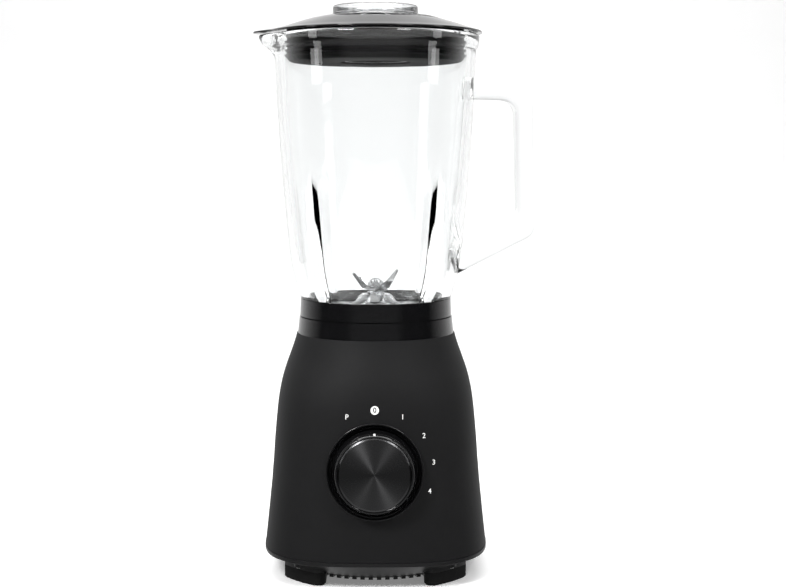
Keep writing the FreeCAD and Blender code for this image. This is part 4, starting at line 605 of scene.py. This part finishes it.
# %% [markdown]
# The handle's outline is a bracket with a big soft upper corner and a tighter lower one. It is drawn
# flat, thickened to the width of a grip, and its long edges are rounded so that it is kind to the hand.

# %% Handle
HANDLE_WIDTH, HANDLE_EDGE, HANDLE_SINK = 22.0, 4.4, 4.6
HANDLE_TOP, HANDLE_UNDER, HANDLE_LOW, HANDLE_ROOT = 340.2, 324.8, 232.0, 203.5
HANDLE_OUT, HANDLE_IN, HANDLE_ARM = 110.2, 97.6, 19.0

upper_root = side_radius(HANDLE_TOP) - HANDLE_SINK
lower_root = side_radius(HANDLE_ROOT) - HANDLE_SINK
handle_outline = rounded([
    (upper_root, HANDLE_TOP + 0.8, 0), (HANDLE_OUT - 2.2, HANDLE_TOP, 19), (HANDLE_OUT, HANDLE_LOW + 1, 6),
    (lower_root, HANDLE_ROOT, 0), (lower_root, HANDLE_ROOT + HANDLE_ARM, 0),
    (HANDLE_IN, HANDLE_LOW + 10.5, 9), (HANDLE_IN - 2.2, HANDLE_UNDER, 11),
    (upper_root, HANDLE_UNDER + 1.2, 0)], 10)


def handle_mesh():
    """The handle's outline given its width, with the long edges rounded."""
    work = bmesh.new()
    near = [work.verts.new((x * MM, -HANDLE_WIDTH / 2 * MM, z * MM)) for x, z in handle_outline]
    face = work.faces.new(near)
    grown = bmesh.ops.extrude_face_region(work, geom=[face])["geom"]
    far = [part for part in grown if isinstance(part, bmesh.types.BMVert)]
    bmesh.ops.translate(work, vec=(0, HANDLE_WIDTH * MM, 0), verts=far)
    bmesh.ops.recalc_face_normals(work, faces=work.faces)
    rims = [edge for edge in work.edges if abs(edge.verts[0].co.y - edge.verts[1].co.y) < 1e-7]
    bmesh.ops.bevel(work, geom=rims, offset=HANDLE_EDGE * MM, segments=6, profile=0.5, affect="EDGES")
    mesh = bpy.data.meshes.new("handle_form")
    work.to_mesh(mesh)
    work.free()
    return mesh


def joined_to(base_mesh, added_mesh, name):
    """One solid from two overlapping ones."""
    base = bpy.data.objects.new(name + "_base", base_mesh)
    added = bpy.data.objects.new(name + "_added", added_mesh)
    for each in (base, added):
        bpy.context.scene.collection.objects.link(each)
    union = base.modifiers.new("join", "BOOLEAN")
    union.operation = "UNION"
    union.solver = "EXACT"
    union.object = added
    bpy.context.view_layer.update()
    result = bpy.data.meshes.new_from_object(base.evaluated_get(bpy.context.evaluated_depsgraph_get()))
    for each in (base, added):
        bpy.data.objects.remove(each)
    result.name = name
    return result


glass = joined_to(jug_skin(), handle_mesh(), "pressed_glass_jug")
glass.shade_smooth()
glass.set_sharp_from_angle(angle=math.radians(38))
new_piece(glass, "clear_glass", "jug", "glass_jug")
print("jug has", len(glass.polygons), "faces")

# %% [markdown]
# ## Lid
# The lid is a thin dome of polished ABS with a rim drawn out over the jug's beak. A few short ribs on its
# slope give wet fingers something to push on.

# %% Lid
LID_HOLE, LID_TOP, LID_EDGE, LID_RADIUS = 24.4, 383.7, 370.9, 73.4
TONGUE_REACH, TONGUE_TURN = 84.2, 21


def lid_lip(angle, radius, height):
    """How far the lid's rim is drawn out over the beak, in mm."""
    turn = abs(math.degrees(angle) - 180)
    narrow = (0.5 + 0.5 * math.cos(math.pi * min(turn / TONGUE_TURN, 1))) ** 1.2
    return (TONGUE_REACH - LID_RADIUS) * narrow * ease(radius, 62, LID_RADIUS)


lid_outline = rounded([
    (LID_HOLE, LID_TOP, 0.5), (31.0, LID_TOP - 0.1, 3), (46.0, 380.6, 6), (58.5, 376.7, 6), (68.0, 373.6, 4),
    (LID_RADIUS, 372.1, 0.5), (LID_RADIUS, LID_EDGE, 0.5), (59.2, LID_EDGE, 0.5), (56.7, 374.6, 3),
    (31.9, 381.2, 3), (LID_HOLE, 381.2, 0.4)], 6)
new_piece(turn_outline("lid_dome", lid_outline, 240, lid_lip), "gloss_black", "lid", "lid_cover")

RIB_COUNT, RIB_FROM, RIB_TO = 8, 40.0, 60.0
GRIP_HALF_WIDTH, GRIP_RISE = 1.0, 0.55
DOME_AT_FROM, DOME_AT_TO = 382.2, 375.9


def grip_ribs():
    """Short radial ribs on the lid's slope, each a low rounded bar that follows the dome."""
    work = bmesh.new()
    for number in range(RIB_COUNT):
        angle = math.radians(-68 + 6.0 * number)
        along = Vector((math.cos(angle), math.sin(angle), 0))
        across = Vector((-math.sin(angle), math.cos(angle), 0))
        rows = []
        for step in range(9):
            t = step / 8
            radius = RIB_FROM + (RIB_TO - RIB_FROM) * t
            base = DOME_AT_FROM + (DOME_AT_TO - DOME_AT_FROM) * t - 0.25 * math.sin(math.pi * t)
            swell = math.sin(math.pi * min(max(t, 0.02), 0.98)) ** 0.4
            row = []
            for turn in range(7):
                bow = math.pi * turn / 6
                place = along * radius + across * GRIP_HALF_WIDTH * swell * math.cos(bow)
                place.z = base + (GRIP_RISE * math.sin(bow) + 0.35) * swell - 0.35
                row.append(work.verts.new(place * MM))
            rows.append(row)
        for low, high in zip(rows, rows[1:]):
            for turn in range(6):
                work.faces.new((low[turn], low[turn + 1], high[turn + 1], high[turn]))
            work.faces.new((low[6], low[0], high[0], high[6]))
        work.faces.new(rows[0])
        work.faces.new(list(reversed(rows[-1])))
    bmesh.ops.recalc_face_normals(work, faces=work.faces)
    mesh = bpy.data.meshes.new("lid_grip_ribs")
    work.to_mesh(mesh)
    work.free()
    mesh.shade_smooth()
    return mesh


new_piece(grip_ribs(), "gloss_black", "lid")
print("lid has", RIB_COUNT, "grip ribs")

# %% [markdown]
# Under the dome hangs the plug, wrapped in a rubber seal whose three lips press on the glass. It is seen
# through the jug's wall, so it is one dull turned piece with soft lips and a rounded lower edge.

# %% Plug and seal
PLUG_BOTTOM, SEAL_BAND, LIP_REACH = 351.2, 61.0, 62.7
seal_outline = [
    (LID_HOLE, PLUG_BOTTOM, 0.3), (SEAL_BAND - 1.8, PLUG_BOTTOM, 1.5), (SEAL_BAND, PLUG_BOTTOM + 2.2, 0.5)]
for lip in (354.8, 358.4, 365.0):
    seal_outline += [(SEAL_BAND, lip - 1.2, 0.2), (LIP_REACH, lip, 0.3), (LIP_REACH, lip + 0.4, 0.3),
                     (SEAL_BAND, lip + 1.4, 0.2)]
seal_outline += [(SEAL_BAND, 370.6, 0.2), (57.4, 370.6, 0.2), (57.4, 354.0, 0.5), (26.6, 354.0, 0.3),
                 (26.6, 381.0, 0.2), (LID_HOLE, 381.0, 0.2)]
plug = turn_outline("plug_and_seal", rounded(seal_outline, 3), 200)
new_piece(plug, "black_rubber", "lid", "lid_plug", "lid_seal")
print("plug has", len(plug.polygons), "faces")

# %% [markdown]
# ## Measuring cup
# The cup in the middle of the lid is clear and moulded in one piece: a shallow cap with a soft rim on a
# tube that opens downwards.

# %% Measuring cup
CUP_HEAD, CUP_TUBE, CUP_BORE = 29.3, 24.0, 21.8
CUP_TOP, CUP_SEAT, CUP_BOTTOM = 389.95, 384.0, 352.2
cup_outline = rounded([
    (0, CUP_TOP - 0.7, 0), (CUP_HEAD - 5.5, CUP_TOP - 0.7, 1.5), (CUP_HEAD - 3.6, CUP_TOP, 1.5),
    (CUP_HEAD, CUP_TOP, 3.0), (CUP_HEAD, CUP_SEAT, 0.6), (CUP_TUBE, CUP_SEAT, 0.5),
    (CUP_TUBE - 0.3, CUP_BOTTOM, 0.8),
    (CUP_BORE - 0.3, CUP_BOTTOM, 0.8), (CUP_BORE, CUP_TOP - 3.0, 2.0), (0, CUP_TOP - 2.9, 0)], 6)
cup = turn_outline("measuring_cup_clear", cup_outline)
new_piece(cup, "clear_plastic", "measuring_cup", "measuring_cup")
print("cup has", len(cup.polygons), "faces")

# %% [markdown]
# ## The dial
# The dial sits on a slightly leaning wall, so all of it is turned about its own axis and then stood on
# the wall. The ring round it is dished and polished, so it stays black but for its edges. The knob is a
# shallow cup with a crisp front edge. The disc set in it is spun aluminium, kept as an object with its own
# axis so that the rings of its finish run about its centre.

# %% Dial
DIAL_PLACE, DIAL_LEAN = Vector((0, -71.22, 79.6)) * MM, 4.0
dial_stand = Matrix.Translation(DIAL_PLACE) @ Matrix.Rotation(math.radians(90 - DIAL_LEAN), 4, "X")
BEZEL, BEZEL_BORE, KNOB_SIDE, KNOB_FRONT, DISC = 32.3, 28.6, 28.2, 26.0, 24.3
KNOB_OUT = 14.0


def on_dial(name, outline, slot, body, *nodes):
    """A turned piece stood on the front wall at the dial."""
    return new_piece(turn_outline(name, outline, 192), slot, body, *nodes, stand=dial_stand)


bezel_outline = rounded([
    (BEZEL_BORE, -7.9, 0), (29.3, -7.9, 0), (29.3, -3.0, 0), (BEZEL, -3.0, 0), (BEZEL, 1.6, 0.7),
    (BEZEL - 0.9, 1.6, 0.4), (30.2, 0.1, 1.2), (BEZEL_BORE, -0.9, 0.4)], 6)
on_dial("dial_ring", bezel_outline, "gloss_black", "base", "knob_bezel")
pan_outline = rounded([(0, -7.9, 0), (29.0, -7.9, 0), (29.0, -5.6, 0), (0, -5.6, 0)])
on_dial("dial_pan", pan_outline, "gloss_black", "base")

knob_outline = rounded([
    (0, 12.9, 0), (DISC + 0.15, 12.9, 0), (DISC + 0.15, 13.8, 0.2), (KNOB_FRONT - 0.9, KNOB_OUT, 0.3),
    (KNOB_FRONT, KNOB_OUT - 0.9, 0.7), (KNOB_SIDE - 0.35, 4.2, 0.3), (KNOB_SIDE, 3.4, 0.5),
    (KNOB_SIDE, 0.5, 0.4), (KNOB_SIDE - 2.2, 0.5, 0.3), (KNOB_FRONT - 2.2, 10.8, 1),
    (5.6, 10.8, 0.4), (5.6, -3.6, 0.3),
    (3.1, -3.6, 0), (3.1, 9.0, 0), (0, 9.0, 0)], 5)
on_dial("dial_knob", knob_outline, "gloss_black", "knob", "knob")

disc_outline = rounded([
    (0, 14.4, 0), (DISC - 1.2, 14.4, 0.25), (DISC - 0.1, 13.7, 0.25), (DISC, 13.0, 0), (0, 13.0, 0)], 4)
on_dial("spun_disc", disc_outline, "spun_dark_metal", "knob", "knob_disc")
print("dial stands", KNOB_OUT, "mm proud of the wall")

# %% [markdown]
# ## Printed marks
# The marks round the dial are pad printed: a soft pad presses white ink onto the curved wall. Each mark
# is cut from a plain typeface and laid onto the wall about a tenth of a millimetre proud. The off mark is
# a white spot with a dark nought on it.

# %% Marks
MARK_CIRCLE, MARK_STEP, MARK_HEIGHT, SPOT_RADIUS = 39.3, 28, 3.4, 2.8
MARK_CENTRE = 81.0
TYPE_SIZE = 1.38  # size of the type over the height of its capitals
BEFORE_THE_WALL = -100
INK, INK_ON_INK = 0.08, 0.14
STROKE, NOUGHT_STROKE = 0.01, 0.1


def upright(x, z):
    """Stands a flat drawing up in front of the wall, centred at x, z in mm."""
    place = Matrix.Translation(Vector((x, BEFORE_THE_WALL, z)) * MM)
    return place @ Matrix.Rotation(math.radians(90), 4, "X")


def lay_on_wall(name, mesh, slot, proud):
    """Presses a flat mark, drawn in front of the wall, onto the base's wall."""
    mesh.name = name
    press = new_piece(mesh, slot, "base").modifiers.new("press_on", "SHRINKWRAP")
    press.target = frame["nodes"]["body_shell"]
    press.wrap_method = "PROJECT"
    press.use_project_x, press.use_project_y, press.use_project_z = False, True, False
    press.use_positive_direction, press.use_negative_direction = True, False
    press.wrap_mode = "ABOVE_SURFACE"
    press.offset = proud * MM


def mark_mesh(text, x, z, weight=STROKE):
    """A character as a flat mesh in front of the wall, its strokes made bolder by a weight in mm."""
    curve = bpy.data.curves.new("character", "FONT")
    curve.body = text
    curve.size = MARK_HEIGHT * TYPE_SIZE * MM
    curve.offset = weight * MM
    curve.align_x, curve.align_y = "CENTER", "CENTER"
    holder = bpy.data.objects.new("character", curve)
    holder.matrix_world = upright(x, z)
    bpy.context.scene.collection.objects.link(holder)
    bpy.context.view_layer.update()
    mesh = bpy.data.meshes.new_from_object(holder.evaluated_get(bpy.context.evaluated_depsgraph_get()))
    mesh.transform(holder.matrix_world)
    bpy.data.objects.remove(holder)
    return mesh


for number, text in enumerate("P01234"):
    turn = math.radians(MARK_STEP * (number - 1))
    x, z = MARK_CIRCLE * math.sin(turn), MARK_CENTRE + MARK_CIRCLE * math.cos(turn)
    if text == "0":
        work = bmesh.new()
        bmesh.ops.create_circle(work, cap_ends=True, segments=48, radius=SPOT_RADIUS * MM)
        spot = bpy.data.meshes.new("off_spot")
        work.to_mesh(spot)
        work.free()
        spot.transform(upright(x, z))
        lay_on_wall("mark_off_spot", spot, "white_print", INK)
        nought = mark_mesh(text, x, z, NOUGHT_STROKE)
        lay_on_wall("mark_off_nought", nought, "matte_black_shell", INK_ON_INK)
        continue
    lay_on_wall("mark_" + text, mark_mesh(text, x, z), "white_print", INK)
print("marks printed")
